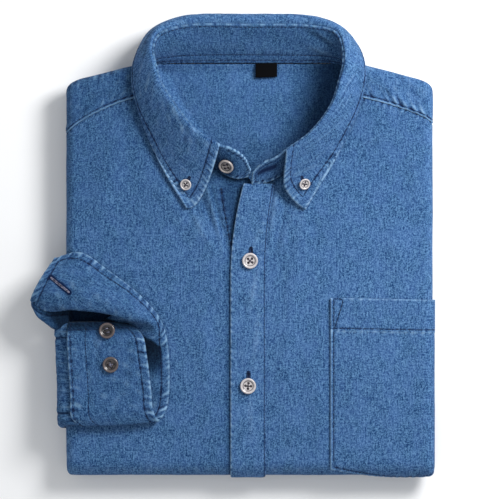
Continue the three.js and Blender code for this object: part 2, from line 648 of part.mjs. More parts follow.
addPiece('folded_layers', foldedLayers(), DENIM_INSIDE);
addPiece('front_right', frontPanel(-1), DENIM);
addPiece('front_left', frontPanel(1), DENIM);
addPiece('front_placket', frontPlacket(), DENIM);
addPiece('yoke_right', yokeStrip(-1), DENIM);
addPiece('yoke_left', yokeStrip(1), DENIM);
addPiece('yoke_inside', yokeInside(), DENIM_INSIDE);
addPiece('collar_stand', collarStand(), DENIM_INSIDE);
addPiece('collar_leaf', collarLeaf(), DENIM);
addPiece('chest_pocket', chestPocket(), DENIM);
addPiece('sleeve', sleeveTube(), DENIM);
addPiece('sleeve_slit', sleeveSlit(), DENIM_INSIDE);
addPiece('cuff', cuffBand(), DENIM);
addPiece('neck_label', neckLabel(), TAPE);

for (const { name, diameter, place, tilt, spin } of BUTTONS) {
  const button = addPiece(name, buttonGeometry(diameter), name.includes('cuff') ? SMOKE : PEARL);
  button.position.set(...place);
  button.rotation.set(radians(tilt[0]), radians(tilt[1]), radians(spin));
}

export default shirt;
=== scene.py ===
"""Looks of a denim shirt folded as it is sold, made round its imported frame.

Tables and shape functions use millimetres, +X to the shirt's left, +Y to the collar, +Z up.
Meshes are written in metres. A grid of cloth has its rows first, then its columns.
"""
import math

import bpy
import numpy as np
from bpy.props import FloatProperty, FloatVectorProperty, PointerProperty
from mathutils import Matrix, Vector


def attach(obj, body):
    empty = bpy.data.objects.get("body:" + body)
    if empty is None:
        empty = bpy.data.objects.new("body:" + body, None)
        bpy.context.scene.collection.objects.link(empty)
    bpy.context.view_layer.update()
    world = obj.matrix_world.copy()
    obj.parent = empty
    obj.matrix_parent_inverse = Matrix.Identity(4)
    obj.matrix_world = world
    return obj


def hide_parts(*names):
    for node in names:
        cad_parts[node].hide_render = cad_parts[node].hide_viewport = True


bl_info = {
    "name": "Folded Denim Shirt",
    "version": (1, 0, 0),
    "blender": (4, 5, 0),
    "location": "View3D > Sidebar > Shirt",
    "description": "Makes the cloth, sewing and buttons of a folded denim shirt round its frame",
    "category": "Add Mesh",
}

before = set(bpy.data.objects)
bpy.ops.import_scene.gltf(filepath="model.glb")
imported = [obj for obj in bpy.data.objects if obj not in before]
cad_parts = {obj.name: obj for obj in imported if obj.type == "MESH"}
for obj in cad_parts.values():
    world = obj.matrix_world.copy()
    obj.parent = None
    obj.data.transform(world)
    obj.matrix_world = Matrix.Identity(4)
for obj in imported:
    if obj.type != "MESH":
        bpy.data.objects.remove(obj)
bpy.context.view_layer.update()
MM = 0.001
BODY = "root"

# Folded body, the same sizes as its solids
HALF_WIDTH = 132.5
HEM_Y = -148.4
SHOULDER_Y = 148.7
FRONT_TOP = 24.0
SIDE_ROUND = 7.0
HEM_ROUND = 11.7
SHOULDER_SLOPE = 0.25
SHOULDER_FLAT_HALF = 82.0
SIDE_WRAP = math.radians(150)
HEM_WRAP = math.radians(115)
SEAM_GAP = 0.35
CLOTH_WALL = 0.9
SIDE_START = HALF_WIDTH - SIDE_ROUND
HEM_START = HEM_Y + HEM_ROUND
SHOULDER_START = SHOULDER_Y - SIDE_ROUND
SIDE_END = SIDE_START + SIDE_ROUND * SIDE_WRAP
HEM_END = HEM_START - HEM_ROUND * HEM_WRAP
SHOULDER_END = SHOULDER_START + SIDE_ROUND * SIDE_WRAP

# Front opening
PLACKET_LEFT = -13.6
PLACKET_RIGHT = 11.2
PLACKET_WALL = 1.5
PLACKET_BEND_START = -6.0
PLACKET_TOP = 62.0

# Breast pocket
POCKET_LEFT = 58.6
POCKET_TOP = -20.0
POCKET_POINT = 112.0
POCKET_FOOT = -142.6
POCKET_HEM = 22.6

# Neck recess
RECESS_FLOOR = 8.9
NECK_BACK_Y = 147.4
NECK_SEAM_Y = 149.4

# Soft ridges of the fronts: centre x, y, heading in degrees, length, width, height
FRONT_RIDGES = [
    (34, 2, 84, 90, 15, 0.9),
    (48, -92, 97, 60, 12, 1.0),
    (27, -60, 88, 70, 14, 0.8),
    (-32, -70, 93, 80, 12, 1.0),
    (-26, 20, 72, 60, 16, 0.8),
    (-50, 42, 128, 60, 14, 1.1),
    (72, 50, 52, 70, 16, 1.1),
    (104, 22, 100, 70, 15, 0.9),
    (-104, 66, 80, 80, 16, 1.0),
]

# Smaller creases of the fronts, in the same form: below the collar points, by the placket and the folds
FRONT_CREASES = [
    (-26, 42, 104, 56, 3.6, 1.2),
    (-21, 36, 106, 50, 3.2, -1.2),
    (-32, 46, 112, 46, 3.8, -1.1),
    (-38, 36, 118, 44, 4.4, 0.8),
    (-16, 26, 100, 36, 3.0, 0.5),
    (17, 40, 82, 44, 3.4, 0.9),
    (23, 34, 78, 46, 3.6, -0.9),
    (30, 36, 70, 44, 4.2, 0.5),
    (-34, 40, 75, 34, 7, 0.45),
    (-44, 34, 66, 26, 6, -0.35),
    (38, 38, 80, 40, 7, 0.4),
    (47, 30, 84, 30, 6, -0.35),
    (-20, 46, 82, 30, 5, -0.4),
    (22, 34, 98, 44, 6, 0.4),
    (24, -20, 92, 50, 6, -0.3),
    (-24, -30, 88, 46, 6, -0.3),
    (-60, 96, 150, 34, 8, 0.45),
    (92, 96, 30, 40, 8, 0.45),
    (-116, -120, 80, 30, 9, 0.4),
    (118, 70, 95, 44, 8, 0.4),
    (-8, -128, 90, 30, 8, 0.3),
    (-72, -128, 96, 36, 10, 0.35),
    (30, -126, 84, 34, 9, 0.35),
    (84, 6, 12, 40, 9, -0.3),
]


def smoothstep(value, low, high):
    """A smooth rise from 0 at low to 1 at high: three squares less two cubes of the share between them."""
    share = np.clip((value - low) / (high - low), 0, 1)
    return share * share * (3 - 2 * share)


def mix(low, high, share):
    """The value a share of the way from low to high."""
    return low + (high - low) * share


def bell(value, width):
    """A bell curve: e to the power of minus the square of value over width."""
    return np.exp(-((value / width) ** 2))


def unit(vectors):
    """Vectors scaled to length one."""
    length = np.linalg.norm(vectors, axis=-1, keepdims=True)
    return vectors / np.maximum(length, 1e-9)


def stack(*parts):
    """Coordinates put together as points."""
    return np.stack(np.broadcast_arrays(*parts), axis=-1)


def spline(points, places):
    """A centripetal Catmull-Rom curve through points, read at places from 0 to 1.

    Each span is the cubic whose end slopes weigh its neighbours by the square root of their distances.
    """
    points = np.asarray(points, float)
    padded = np.concatenate([[2 * points[0] - points[1]], points, [2 * points[-1] - points[-2]]])
    spans = len(points) - 1
    at = np.asarray(places, float) * spans
    span = np.minimum(at.astype(int), spans - 1)
    share = (at - span).reshape((-1,) + (1,) * (points.ndim - 1))
    before, start, end, after = (padded[span + step] for step in range(4))
    gaps = []
    for low, high in ((before, start), (start, end), (end, after)):
        gaps.append(np.maximum(np.sum((high - low) ** 2, -1, keepdims=True), 1e-8) ** 0.25)
    gap_in, gap, gap_out = gaps
    slope_in = (start - before) / gap_in - (end - before) / (gap_in + gap) + (end - start) / gap
    slope_out = (end - start) / gap - (after - start) / (gap + gap_out) + (after - end) / gap_out
    slope_in, slope_out = slope_in * gap, slope_out * gap
    square = -3 * start + 3 * end - 2 * slope_in - slope_out
    cube = 2 * start - 2 * end + slope_in + slope_out
    return start + share * (slope_in + share * (square + share * cube))


def ripple(along, seed, spacing, spread=0.45, count=5):
    """An uneven wave between about -1 and 1: a sum of sines with lengths near spacing and seeded phases."""
    rng = np.random.default_rng(seed)
    total = np.zeros_like(along, dtype=float)
    for _ in range(count):
        length = spacing * rng.uniform(1 - spread, 1 + spread)
        total += np.sin(2 * np.pi * (along / length + rng.uniform()))
    return np.clip(total / (0.5 * count), -1, 1)


def unevenness(u, v, seed, size, count=9):
    """Soft unevenness between about -1 and 1: a sum of plane waves in seeded directions, near size long."""
    rng = np.random.default_rng(seed)
    total = np.zeros_like(u + v, dtype=float)
    for _ in range(count):
        heading = rng.uniform(0, np.pi)
        length = size * rng.uniform(0.6, 1.6)
        along = u * np.cos(heading) + v * np.sin(heading)
        total += np.sin(2 * np.pi * (along / length + rng.uniform()))
    return total / (0.55 * count)


def ridges(table, u, v):
    """A sum of ridges, each a bell along its heading times a narrower bell across it."""
    total = np.zeros_like(u + v, dtype=float)
    for centre_u, centre_v, heading, length, width, height in table:
        turn = math.radians(heading)
        along = (u - centre_u) * math.cos(turn) + (v - centre_v) * math.sin(turn)
        across = -(u - centre_u) * math.sin(turn) + (v - centre_v) * math.cos(turn)
        total += height * np.exp(-((2 * along / length) ** 2) - (2 * across / width) ** 2)
    return total


def near_line(u, v, line):
    """Distance of each point from a line of points, and how far along the line its nearest place is."""
    line = np.asarray(line, float)
    start, end = line[:-1], line[1:]
    reach = end - start
    length = np.maximum(np.linalg.norm(reach, axis=1), 1e-9)
    before = np.concatenate([[0], np.cumsum(length)[:-1]])
    best = np.full(np.shape(u), 1e9)
    place = np.zeros(np.shape(u))
    for origin, span, size, passed in zip(start, reach, length, before):
        share = np.clip(((u - origin[0]) * span[0] + (v - origin[1]) * span[1]) / size**2, 0, 1)
        gap = np.hypot(u - origin[0] - share * span[0], v - origin[1] - share * span[1])
        nearer = gap < best
        best = np.where(nearer, gap, best)
        place = np.where(nearer, passed + share * size, place)
    return best, place


def shoulder_shift(x):
    """How far the shoulder line drops: level beside the neck, then falling to the sides."""
    beyond = np.maximum(0, np.abs(x) - SHOULDER_FLAT_HALF)
    corner = np.maximum(0, np.abs(x) - 120)
    return -SHOULDER_SLOPE * beyond - 0.02 * corner**2


def body_point(across, along, lift):
    """A point on the folded body, from lengths measured over the cloth.

    Past the flat top the cloth turns round the side fold, the hem fold or the shoulder fold. The two
    angles join as the fourth root of the sum of their fourth powers.
    """
    across, along, lift = np.broadcast_arrays(np.asarray(across, float), along, lift)
    end_round = np.where(along < 0, HEM_ROUND, SIDE_ROUND)
    side_angle = np.maximum(0, np.abs(across) - SIDE_START) / SIDE_ROUND
    end_angle = np.maximum(0, np.maximum(HEM_START - along, along - SHOULDER_START)) / end_round
    angle = (side_angle**4 + end_angle**4) ** 0.25
    turn = np.where(angle > 1e-6, np.sin(angle) / np.maximum(angle, 1e-6), 1)
    x = np.sign(across) * (np.minimum(np.abs(across), SIDE_START) + (SIDE_ROUND + lift) * turn * side_angle)
    y = np.clip(along, HEM_START, SHOULDER_START) + np.sign(along) * (end_round + lift) * turn * end_angle
    squares = side_angle**2 + end_angle**2
    weighted = SIDE_ROUND * side_angle**2 + end_round * end_angle**2
    rounding = np.where(squares > 0, weighted / np.maximum(squares, 1e-9), SIDE_ROUND)
    z = FRONT_TOP + lift - (rounding + lift) * (1 - np.cos(angle))
    return stack(x, y + shoulder_shift(x) * smoothstep(along, 60, 140), z)


def grid_normals(points, ring=False):
    """The unit normal at each point of a grid, from the steps to its neighbours."""
    if ring:
        over = np.roll(points, -1, axis=1) - np.roll(points, 1, axis=1)
    else:
        over = np.gradient(points, axis=1)
    return unit(np.cross(over, np.gradient(points, axis=0)))


def arc_lengths(points, axis):
    """Length over the grid up to each point, along one axis."""
    steps = np.linalg.norm(np.diff(points, axis=axis), axis=-1)
    first = np.zeros_like(np.take(steps, [0], axis=axis))
    return np.concatenate([first, np.cumsum(steps, axis=axis)], axis=axis)


def read_grid(grid, rows, columns):
    """Values of a grid between its points: the mean of the four nearest, weighed by nearness."""
    rows = np.clip(rows, 0, grid.shape[0] - 1.001)
    columns = np.clip(columns, 0, grid.shape[1] - 1.001)
    row, column = rows.astype(int), columns.astype(int)
    down = (rows - row).reshape(rows.shape + (1,) * (grid.ndim - 2))
    over = (columns - column).reshape(down.shape)
    upper = mix(grid[row, column], grid[row, column + 1], over)
    lower = mix(grid[row + 1, column], grid[row + 1, column + 1], over)
    return mix(upper, lower, down)


def fine_steps(*stretches):
    """Even steps through each stretch of a run; a stretch is where it starts, where it ends and its count."""
    values = [np.array([stretches[0][0]], float)]
    for start, end, count in stretches:
        values.append(np.linspace(start, end, count + 1)[1:])
    return np.concatenate(values)


class Cloth:
    """A grid of cloth: its points, lengths over the cloth for each, its wear with painted highlights and shade, and a
    tone that paints light and shade on it.
    """

    def __init__(self, points, u, v, ring=False):
        self.points = points
        self.ring = ring
        self.u, self.v = np.broadcast_arrays(u, v)
        self.normals = grid_normals(points, ring)
        if self.normals[..., 2].mean() < 0 and not ring:
            self.normals = -self.normals
        self.wear_and_painted_light = np.zeros(points.shape[:2])
        self.tone = np.ones(points.shape[:2])

    def push(self, height):
        """Moves every point along its normal."""
        self.points = self.points + self.normals * np.broadcast_to(height, self.wear_and_painted_light.shape)[..., None]

    def size(self):
        """Longest row, longest column and area, in metres."""
        points = self.points
        over = arc_lengths(points, 1)[:, -1].max()
        down = arc_lengths(points, 0)[-1].max()
        first = points[1:, 1:] - points[:-1, :-1]
        second = points[1:, :-1] - points[:-1, 1:]
        area = 0.5 * np.linalg.norm(np.cross(first, second), axis=-1).sum()
        return over * MM, down * MM, area * MM * MM


def write_mesh(name, points, faces, material, uv=None, wear_and_painted_light=None, tone=None):
    """Puts points and faces into a new object at the origin, in metres, its faces turned outwards."""
    points = np.asarray(points, float).reshape(-1, 3) * MM
    quads = [np.asarray(face, np.int64) for face in faces]
    volume = 0.0
    for group in quads:
        for third in range(2, group.shape[1]):
            a, b, c = points[group[:, 0]], points[group[:, third - 1]], points[group[:, third]]
            volume += np.einsum("ij,ij->i", a, np.cross(b, c)).sum()
    if volume < 0:
        quads = [group[:, ::-1] for group in quads]
    corners = np.concatenate([group.ravel() for group in quads])
    totals = np.concatenate([np.full(len(group), group.shape[1]) for group in quads])
    mesh = bpy.data.meshes.new(name)
    mesh.vertices.add(len(points))
    mesh.vertices.foreach_set("co", points.ravel())
    mesh.loops.add(len(corners))
    mesh.loops.foreach_set("vertex_index", corners.astype(np.int32))
    mesh.polygons.add(len(totals))
    mesh.polygons.foreach_set("loop_start", np.concatenate([[0], np.cumsum(totals)[:-1]]).astype(np.int32))
    mesh.polygons.foreach_set("use_smooth", np.ones(len(totals), bool))
    if uv is not None:
        layer = mesh.uv_layers.new(name="cloth")
        flat = np.asarray(uv, float).reshape(-1, 2) * MM
        layer.data.foreach_set("uv", flat[corners].ravel())
    for label, values in (("wear_and_painted_light", wear_and_painted_light), ("tone", tone)):
        if values is not None:
            layer = mesh.attributes.new(label, "FLOAT", "POINT")
            layer.data.foreach_set("value", np.asarray(values, np.float32).ravel())
    mesh.update(calc_edges=True)
    mesh.validate()
    mesh.materials.append(material)
    obj = bpy.data.objects.new(name, mesh)
    bpy.context.scene.collection.objects.link(obj)
    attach(obj, BODY)
    return obj


def grid_faces(rows, columns, ring=False):
    """Four corners of every cell of a grid; on a ring the last column joins the first."""
    row, column = np.meshgrid(np.arange(rows - 1), np.arange(columns if ring else columns - 1), indexing="ij")
    after = (column + 1) % columns
    corners = (row * columns + column, row * columns + after, (row + 1) * columns + after, (row + 1) * columns + column)
    return np.stack(corners, axis=-1).reshape(-1, 4)


def grid_border(rows, columns):
    """Places of a grid's border points, in order round it."""
    return np.concatenate([
        np.arange(columns),
        np.arange(1, rows) * columns + columns - 1,
        (rows - 1) * columns + np.arange(columns - 2, -1, -1),
        np.arange(rows - 2, 0, -1) * columns,
    ])


def rim_faces(upper, rim, lower):
    """Two bands of cells that join an upper border to a rim and the rim to a lower border."""
    bands = []
    for first, second in ((upper, rim), (rim, lower)):
        bands.append(np.stack([first, second, np.roll(second, -1), np.roll(first, -1)], axis=-1))
    return np.concatenate(bands)


def sew_shell(name, cloth, low, high, material):
    """A closed thin shell: the cloth moved along its normals to low and to high, with a rounded rim between."""
    rows, columns = cloth.wear_and_painted_light.shape
    low = np.broadcast_to(low, (rows, columns))
    high = np.broadcast_to(high, (rows, columns))
    upper = (cloth.points + cloth.normals * high[..., None]).reshape(-1, 3)
    lower = (cloth.points + cloth.normals * low[..., None]).reshape(-1, 3)
    count = rows * columns
    if cloth.ring:
        borders = [np.arange(columns), (rows - 1) * columns + np.arange(columns)]
    else:
        borders = [grid_border(rows, columns)]
    faces = [grid_faces(rows, columns, cloth.ring), grid_faces(rows, columns, cloth.ring)[:, ::-1] + count]
    points, fields = [upper, lower], [np.arange(count), np.arange(count)]
    start = 2 * count
    for border in borders:
        row, column = border // columns, border % columns
        inner_row = np.clip(row, 1, rows - 2)
        inner_column = column if cloth.ring else np.clip(column, 1, columns - 2)
        middle = (upper[border] + lower[border]) / 2
        inside = inner_row * columns + inner_column
        outward = unit(middle - (upper[inside] + lower[inside]) / 2)
        thick = np.linalg.norm(upper[border] - lower[border], axis=-1, keepdims=True)
        points.append(middle + outward * thick * 0.42)
        rim = start + np.arange(len(border))
        band = rim_faces(border, rim, border + count)
        faces.append(band if border is borders[0] else band[:, ::-1])
        fields.append(border)
        start += len(border)
    places = np.concatenate(fields)
    uv = np.stack([cloth.u.ravel(), cloth.v.ravel()], axis=-1)[places]
    return write_mesh(
        name, np.concatenate(points), faces, material,
        uv, cloth.wear_and_painted_light.ravel()[places], cloth.tone.ravel()[places],
    )


def declare_sheet(cloth):
    """Measures the flat cut of a cloth piece on its grid, and keeps nothing of it."""
    width, length, area = cloth.size()
    box_area = width * length
    min(area, box_area)


def sew_stitches(lines, settings):
    """Points and faces of the stitches along lines of points with normals.

    A stitch is a thread whose radius narrows at both ends by the fourth root of one less the fourth
    power of its place, and which bows up in the middle and dips into the cloth at its ends.
    """
    stations = np.array([-1.0, -0.72, 0.0, 0.72, 1.0])
    radii = np.maximum(1 - stations**4, 0.02) ** 0.5
    sides = 6
    turns = np.arange(sides) * 2 * np.pi / sides
    pitch = settings.stitch_length * 1000 + settings.stitch_gap * 1000
    radius = settings.thread_width * 500
    every_point, every_face, start = [], [], 0
    for points, normals in lines:
        steps = np.linalg.norm(np.diff(points, axis=0), axis=-1)
        lengths = np.concatenate([[0], np.cumsum(steps)])
        count = int(lengths[-1] / pitch)
        if count < 1:
            continue
        centres = (np.arange(count) + 0.5) * lengths[-1] / count
        at = centres[:, None] + stations * settings.stitch_length * 500
        middle = stack(*[np.interp(at, lengths, points[:, axis]) for axis in range(3)])
        up = unit(stack(*[np.interp(at, lengths, normals[:, axis]) for axis in range(3)]))
        ahead = unit(np.repeat((middle[:, -1:] - middle[:, :1]), len(stations), axis=1))
        side = unit(np.cross(ahead, up))
        middle = middle + up * (radius * (0.55 - 1.25 * stations**2))[None, :, None]
        size = (radius * radii)[None, :, None, None]
        ring = up[:, :, None] * np.cos(turns)[:, None] + side[:, :, None] * np.sin(turns)[:, None]
        shape = middle[:, :, None] + ring * size
        every_point.append(shape.reshape(-1, 3))
        walls = grid_faces(len(stations), sides, ring=True)
        per = len(stations) * sides
        offset = start + np.arange(count) * per
        every_face.append((walls[None] + offset[:, None, None]).reshape(-1, 4))
        first_cap = np.array([[0, 3, 2, 1], [0, 5, 4, 3]])
        last_cap = first_cap[:, ::-1] + per - sides
        caps = np.concatenate([first_cap, last_cap])
        every_face.append((caps[None] + offset[:, None, None]).reshape(-1, 4))
        start += count * per
    return np.concatenate(every_point), np.concatenate(every_face)


def add_stitches(name, lines, material):
    """One object that holds every stitch along the lines."""
    points, faces = sew_stitches(lines, bpy.context.scene.folded_shirt)
    return write_mesh(name, points, [faces], material)


def grid_line(cloth, rows, columns, high=0.0):
    """A line over a grid of cloth, on its upper face, as points with normals."""
    rows, columns = np.broadcast_arrays(np.asarray(rows, float), np.asarray(columns, float))
    normals = unit(read_grid(cloth.normals, rows, columns))
    if np.ndim(high) == 2:
        high = read_grid(high, rows, columns)[:, None]
    return read_grid(cloth.points, rows, columns) + normals * high, normals


def field_columns(field, level):
    """For each row of a growing field, the place between columns where it reaches a level."""
    places = []
    for line in field:
        places.append(np.interp(level, line, np.arange(len(line))))
    return np.array(places)


def falling_columns(field, level):
    """For each row of a falling field, the place between columns where it reaches a level."""
    return field.shape[1] - 1 - field_columns(field[:, ::-1], level)


# Shader maths


class Shade:
    """A shader socket that takes part in Python expressions; every operation adds one Math node."""

    def __init__(self, finish, socket):
        self.finish = finish
        self.socket = socket

    def maths(self, operation, *values):
        return self.finish.node("ShaderNodeMath", {"operation": operation}, values)

    def __add__(self, other):
        return self.maths("ADD", self, other)

    def __sub__(self, other):
        return self.maths("SUBTRACT", self, other)

    def __mul__(self, other):
        return self.maths("MULTIPLY", self, other)

    def __rsub__(self, other):
        return self.maths("SUBTRACT", other, self)

    __radd__ = __add__
    __rmul__ = __mul__

    def sine(self):
        return self.maths("SINE", self)

    def between(self, low, high):
        """A smooth rise from 0 at low to 1 at high."""
        settings = {"interpolation_type": "SMOOTHSTEP"}
        return self.finish.node("ShaderNodeMapRange", settings, {"Value": self, "From Min": low, "From Max": high})


class Finish:
    """A material made of nodes round one shader."""

    def __init__(self, name, constants):
        self.material = bpy.data.materials.new(name)
        self.material.use_nodes = True
        self.tree = self.material.node_tree
        self.shader = self.tree.nodes["Principled BSDF"]
        for label, value in constants.items():
            self.shader.inputs[label].default_value = value

    def node(self, kind, settings=None, inputs=None, output=0):
        """One node: its settings are set first, then its sockets are given values or links."""
        node = self.tree.nodes.new(kind)
        for label, value in (settings or {}).items():
            setattr(node, label, value)
        pairs = inputs.items() if isinstance(inputs, dict) else enumerate(inputs or ())
        for label, value in pairs:
            if isinstance(value, Shade):
                self.tree.links.new(value.socket, node.inputs[label])
            else:
                node.inputs[label].default_value = value
        return Shade(self, node.outputs[output])

    def feed(self, label, value):
        """Links a value to one of the shader's own sockets."""
        self.tree.links.new(value.socket, self.shader.inputs[label])

    def blend(self, share, low, high, how="MIX"):
        """A mix of two colours."""
        settings = {"data_type": "RGBA", "blend_type": how}
        return self.node("ShaderNodeMix", settings, {0: share, 6: low, 7: high}, output=2)

    def attribute(self, label):
        """The factor of a point attribute."""
        return self.node("ShaderNodeAttribute", {"attribute_name": label}, output=2)

    def cloth_place(self, size_u, size_v):
        """The cloth map in units of the given sizes, in millimetres."""
        place = self.node("ShaderNodeUVMap", {"uv_map": "cloth"})
        scale = (1000 / size_u, 1000 / size_v, 1.0)
        return self.node("ShaderNodeVectorMath", {"operation": "MULTIPLY"}, {0: place, 1: scale})

    def noise(self, place, scale=1.0, detail=1.0, roughness=0.5):
        """Smooth noise from 0 to 1 at a place."""
        inputs = {"Vector": place, "Scale": scale, "Detail": detail, "Roughness": roughness}
        return self.node("ShaderNodeTexNoise", {}, inputs)

    def bump(self, height, strength, distance):
        """Feeds a height to the shader's normal."""
        inputs = {"Height": height, "Strength": strength, "Distance": distance}
        self.feed("Normal", self.node("ShaderNodeBump", {}, inputs))


def opaque(colour):
    """A colour with full alpha."""
    return (*colour, 1.0)


def denim_finish(name, colours, grain=1.0, shade=1.0):
    """Washed denim: slubbed threads of dark and light indigo, a fine twill and lighter worn places, with painted light
    and shade from its point attributes.
    """
    finish = Finish(name, {"Sheen Weight": 0.03, "Sheen Roughness": 0.5, "Specular IOR Level": 0.07})
    warp = finish.noise(finish.cloth_place(1.15, 8.0), detail=3.0, roughness=0.8)
    weft = finish.noise(finish.cloth_place(3.6, 1.0), detail=2.0, roughness=0.6)
    speck = finish.noise(finish.cloth_place(2.4, 2.4), detail=3.0, roughness=0.75)
    cloud = finish.noise(finish.cloth_place(11.0, 16.0), detail=3.0, roughness=0.6)
    wide = finish.noise(finish.cloth_place(60.0, 80.0), detail=1.0)
    fine = finish.noise(finish.cloth_place(1.15, 1.3), detail=3.0, roughness=1.0)
    mixed = warp * 0.24 + weft * 0.07 + speck * 0.13 + fine * 0.56
    thread = mixed.between(0.5 - 0.092 / grain, 0.5 + 0.092 / grain)
    fleck = (fine * 0.65 + warp * 0.35).between(0.56, 0.74)
    place = finish.cloth_place(1.0, 1.0)
    across = finish.node("ShaderNodeSeparateXYZ", {}, {0: place}, output=0)
    along = finish.node("ShaderNodeSeparateXYZ", {}, {0: place}, output=1)
    twill = ((across + along) * (2 * math.pi / 1.05)).sine()
    dark = finish.blend(thread, opaque(colours.indigo_dark), opaque(colours.indigo))
    light = finish.blend(thread, opaque(colours.indigo), opaque(colours.indigo_light))
    body = finish.blend((thread + twill * 0.05).between(0.0, 1.0), dark, light)
    body = finish.blend(fleck * 0.62 * grain, body, opaque(colours.worn))
    drift = cloud.between(0.35, 0.65)
    body = finish.blend(drift * 0.35, body, opaque(colours.drift))
    # The wear attribute holds real wear and painted light: rubbed edges and pucker crests go lighter towards the worn
    # colour, and grooves and puckers sink darker. Crease ridges get painted highlights and crease troughs get painted
    # shade.
    wear_and_painted_light = finish.attribute("wear_and_painted_light")
    worn = finish.blend((wear_and_painted_light + (speck - 0.5) * 0.8).between(0.0, 1.3), body, opaque(colours.worn))
    sunk = finish.blend((0 - wear_and_painted_light + (speck - 0.5) * 0.5).between(0.0, 1.2), worn, opaque(colours.sunk))
    # The tone attribute carries painted light and shade. It scales the colour together with random clouds, and red and
    # green fall faster than blue as it darkens.
    level = finish.attribute("tone") * (0.54 + cloud * 0.72 + wide * 0.2) * shade
    cast = finish.node("ShaderNodeCombineXYZ", {}, [level * (level * 0.5 + 0.5), level * (level * 0.16 + 0.84), level])
    finish.feed("Base Color", finish.blend(1.0, sunk, cast, "MULTIPLY"))
    finish.feed("Roughness", 0.8 + speck * 0.16)
    finish.bump(twill * 0.3 + thread * 0.7 + speck * 0.4, 0.4, 0.00016)
    return finish.material


def thread_finish(name, colour):
    """Twisted sewing thread: fine turns along its length and a dull surface."""
    finish = Finish(name, {"Specular IOR Level": 0.2})
    place = finish.node("ShaderNodeTexCoord", {}, output=3)
    turns = finish.noise(place, scale=2600.0, detail=2.0)
    patch = finish.noise(place, scale=620.0, detail=1.0)
    share = (turns * 0.4 + patch * 0.6).between(0.38, 0.62)
    tone = finish.blend(share, opaque([0.4 * part for part in colour]), opaque([1.75 * part for part in colour]))
    finish.feed("Base Color", tone)
    finish.feed("Roughness", 0.7 + turns * 0.2)
    finish.bump(turns, 0.4, 0.0001)
    return finish.material


def button_finish(name, colour, dark, coat):
    """Shell-like button: cloudy swirls between two greys, with painted shade in its hollow and holes and a painted
    highlight on its rim, under a clear coat.
    """
    finish = Finish(name, {"Coat Weight": coat, "Coat Roughness": 0.12, "Specular IOR Level": 0.5})
    place = finish.node("ShaderNodeTexCoord", {}, output=3)
    swirl = finish.noise(place, scale=420.0, detail=4.0, roughness=0.6)
    wear_and_painted_light = finish.attribute("wear_and_painted_light")
    share = (swirl * 0.7 + wear_and_painted_light).between(0.1, 1.0)
    finish.feed("Base Color", finish.blend(share, opaque(dark), opaque(colour)))
    finish.feed("Roughness", 0.22 + swirl * 0.2)
    finish.bump(swirl, 0.15, 0.0001)
    return finish.material


def tape_finish(name, colour):
    """Plain woven tape: fine ribs across it, bare, with no lettering."""
    finish = Finish(name, {"Specular IOR Level": 0.04})
    place = finish.cloth_place(1.0, 1.0)
    along = finish.node("ShaderNodeSeparateXYZ", {}, {0: place}, output=1)
    rib = (along * (2 * math.pi / 0.45)).sine()
    speck = finish.noise(finish.cloth_place(0.5, 0.5), detail=1.0)
    lighter = opaque([2.5 * part for part in colour])
    finish.feed("Base Color", finish.blend((rib * 0.3 + speck).between(0.2, 1.2), opaque(colour), lighter))
    finish.feed("Roughness", 0.6 + speck * 0.2)
    finish.bump(rib, 0.4, 0.0001)
    return finish.material


def floor_finish(name, colour):
    """Matt pale paper with a barely uneven surface."""
    finish = Finish(name, {"Specular IOR Level": 0.1})
    place = finish.node("ShaderNodeTexCoord", {}, output=3)
    speck = finish.noise(place, scale=40.0, detail=3.0)
    dimmer = opaque([0.985 * part for part in colour])
    finish.feed("Base Color", finish.blend(speck, dimmer, opaque(colour)))
    finish.feed("Roughness", 0.9 + speck * 0.05)
    return finish.material


def finish_named(name):
    """The material of that name, made at its first use."""
    material = bpy.data.materials.get(name)
    if material is not None:
        return material
    colours = bpy.context.scene.shirt_colours
    makers = {
        "denim_cloth": lambda: denim_finish(name, colours),
        "denim_inside_cloth": lambda: denim_finish(name, colours, grain=0.75, shade=1.04),
        "navy_thread": lambda: thread_finish(name, colours.thread),
        "pale_thread": lambda: thread_finish(name, colours.pale_thread),
        "button_thread": lambda: thread_finish(name, colours.button_thread),
        "pearl_button": lambda: button_finish(name, colours.pearl, colours.pearl_dark, 0.5),
        "shell_button": lambda: button_finish(name, colours.shell, colours.smoke_dark, 0.5),
        "smoke_button": lambda: button_finish(name, colours.smoke, colours.smoke_dark, 0.5),
        "black_tape": lambda: tape_finish(name, colours.tape),
        "pale_floor": lambda: floor_finish(name, colours.floor),
    }
    return makers[name]()


# Shapes of the cloth pieces


def yoke_seam(x):
    """The yoke's front seam: it falls from the neck to the side, more steeply on the shirt's right."""
    beyond = np.abs(x) - 78
    curl = np.where(x < 0, 0.0043, 0.0017)
    return 125.5 - 0.2 * beyond - curl * np.maximum(0, beyond) ** 2


def yoke_seam_along(across):
    """Where along the cloth the yoke's seam lies, allowing for the slope of the shoulder line."""
    x = np.sign(across) * np.minimum(np.abs(across), HALF_WIDTH)
    y = yoke_seam(x)
    return y - shoulder_shift(x) * smoothstep(y, 60, 140)


def placket_bend(along, top):
    """The front edge leans to the shirt's left above the first button, as the square of the height."""
    rise = np.maximum(0, along - PLACKET_BEND_START) / (63 - PLACKET_BEND_START)
    return top * rise**2


def pocket_foot(across):
    """The pocket's pointed foot: level, then 12 mm lower at its point."""
    reach = np.clip(1 - np.abs(across - POCKET_POINT) / (POCKET_POINT - POCKET_LEFT), 0, 1)
    return POCKET_FOOT - 12 * reach


def yoke_line(side):
    """The yoke's seam on one side, as points over the cloth."""
    across = side * np.linspace(66, SIDE_END, 40)
    return np.stack([across, yoke_seam_along(across)], axis=-1)


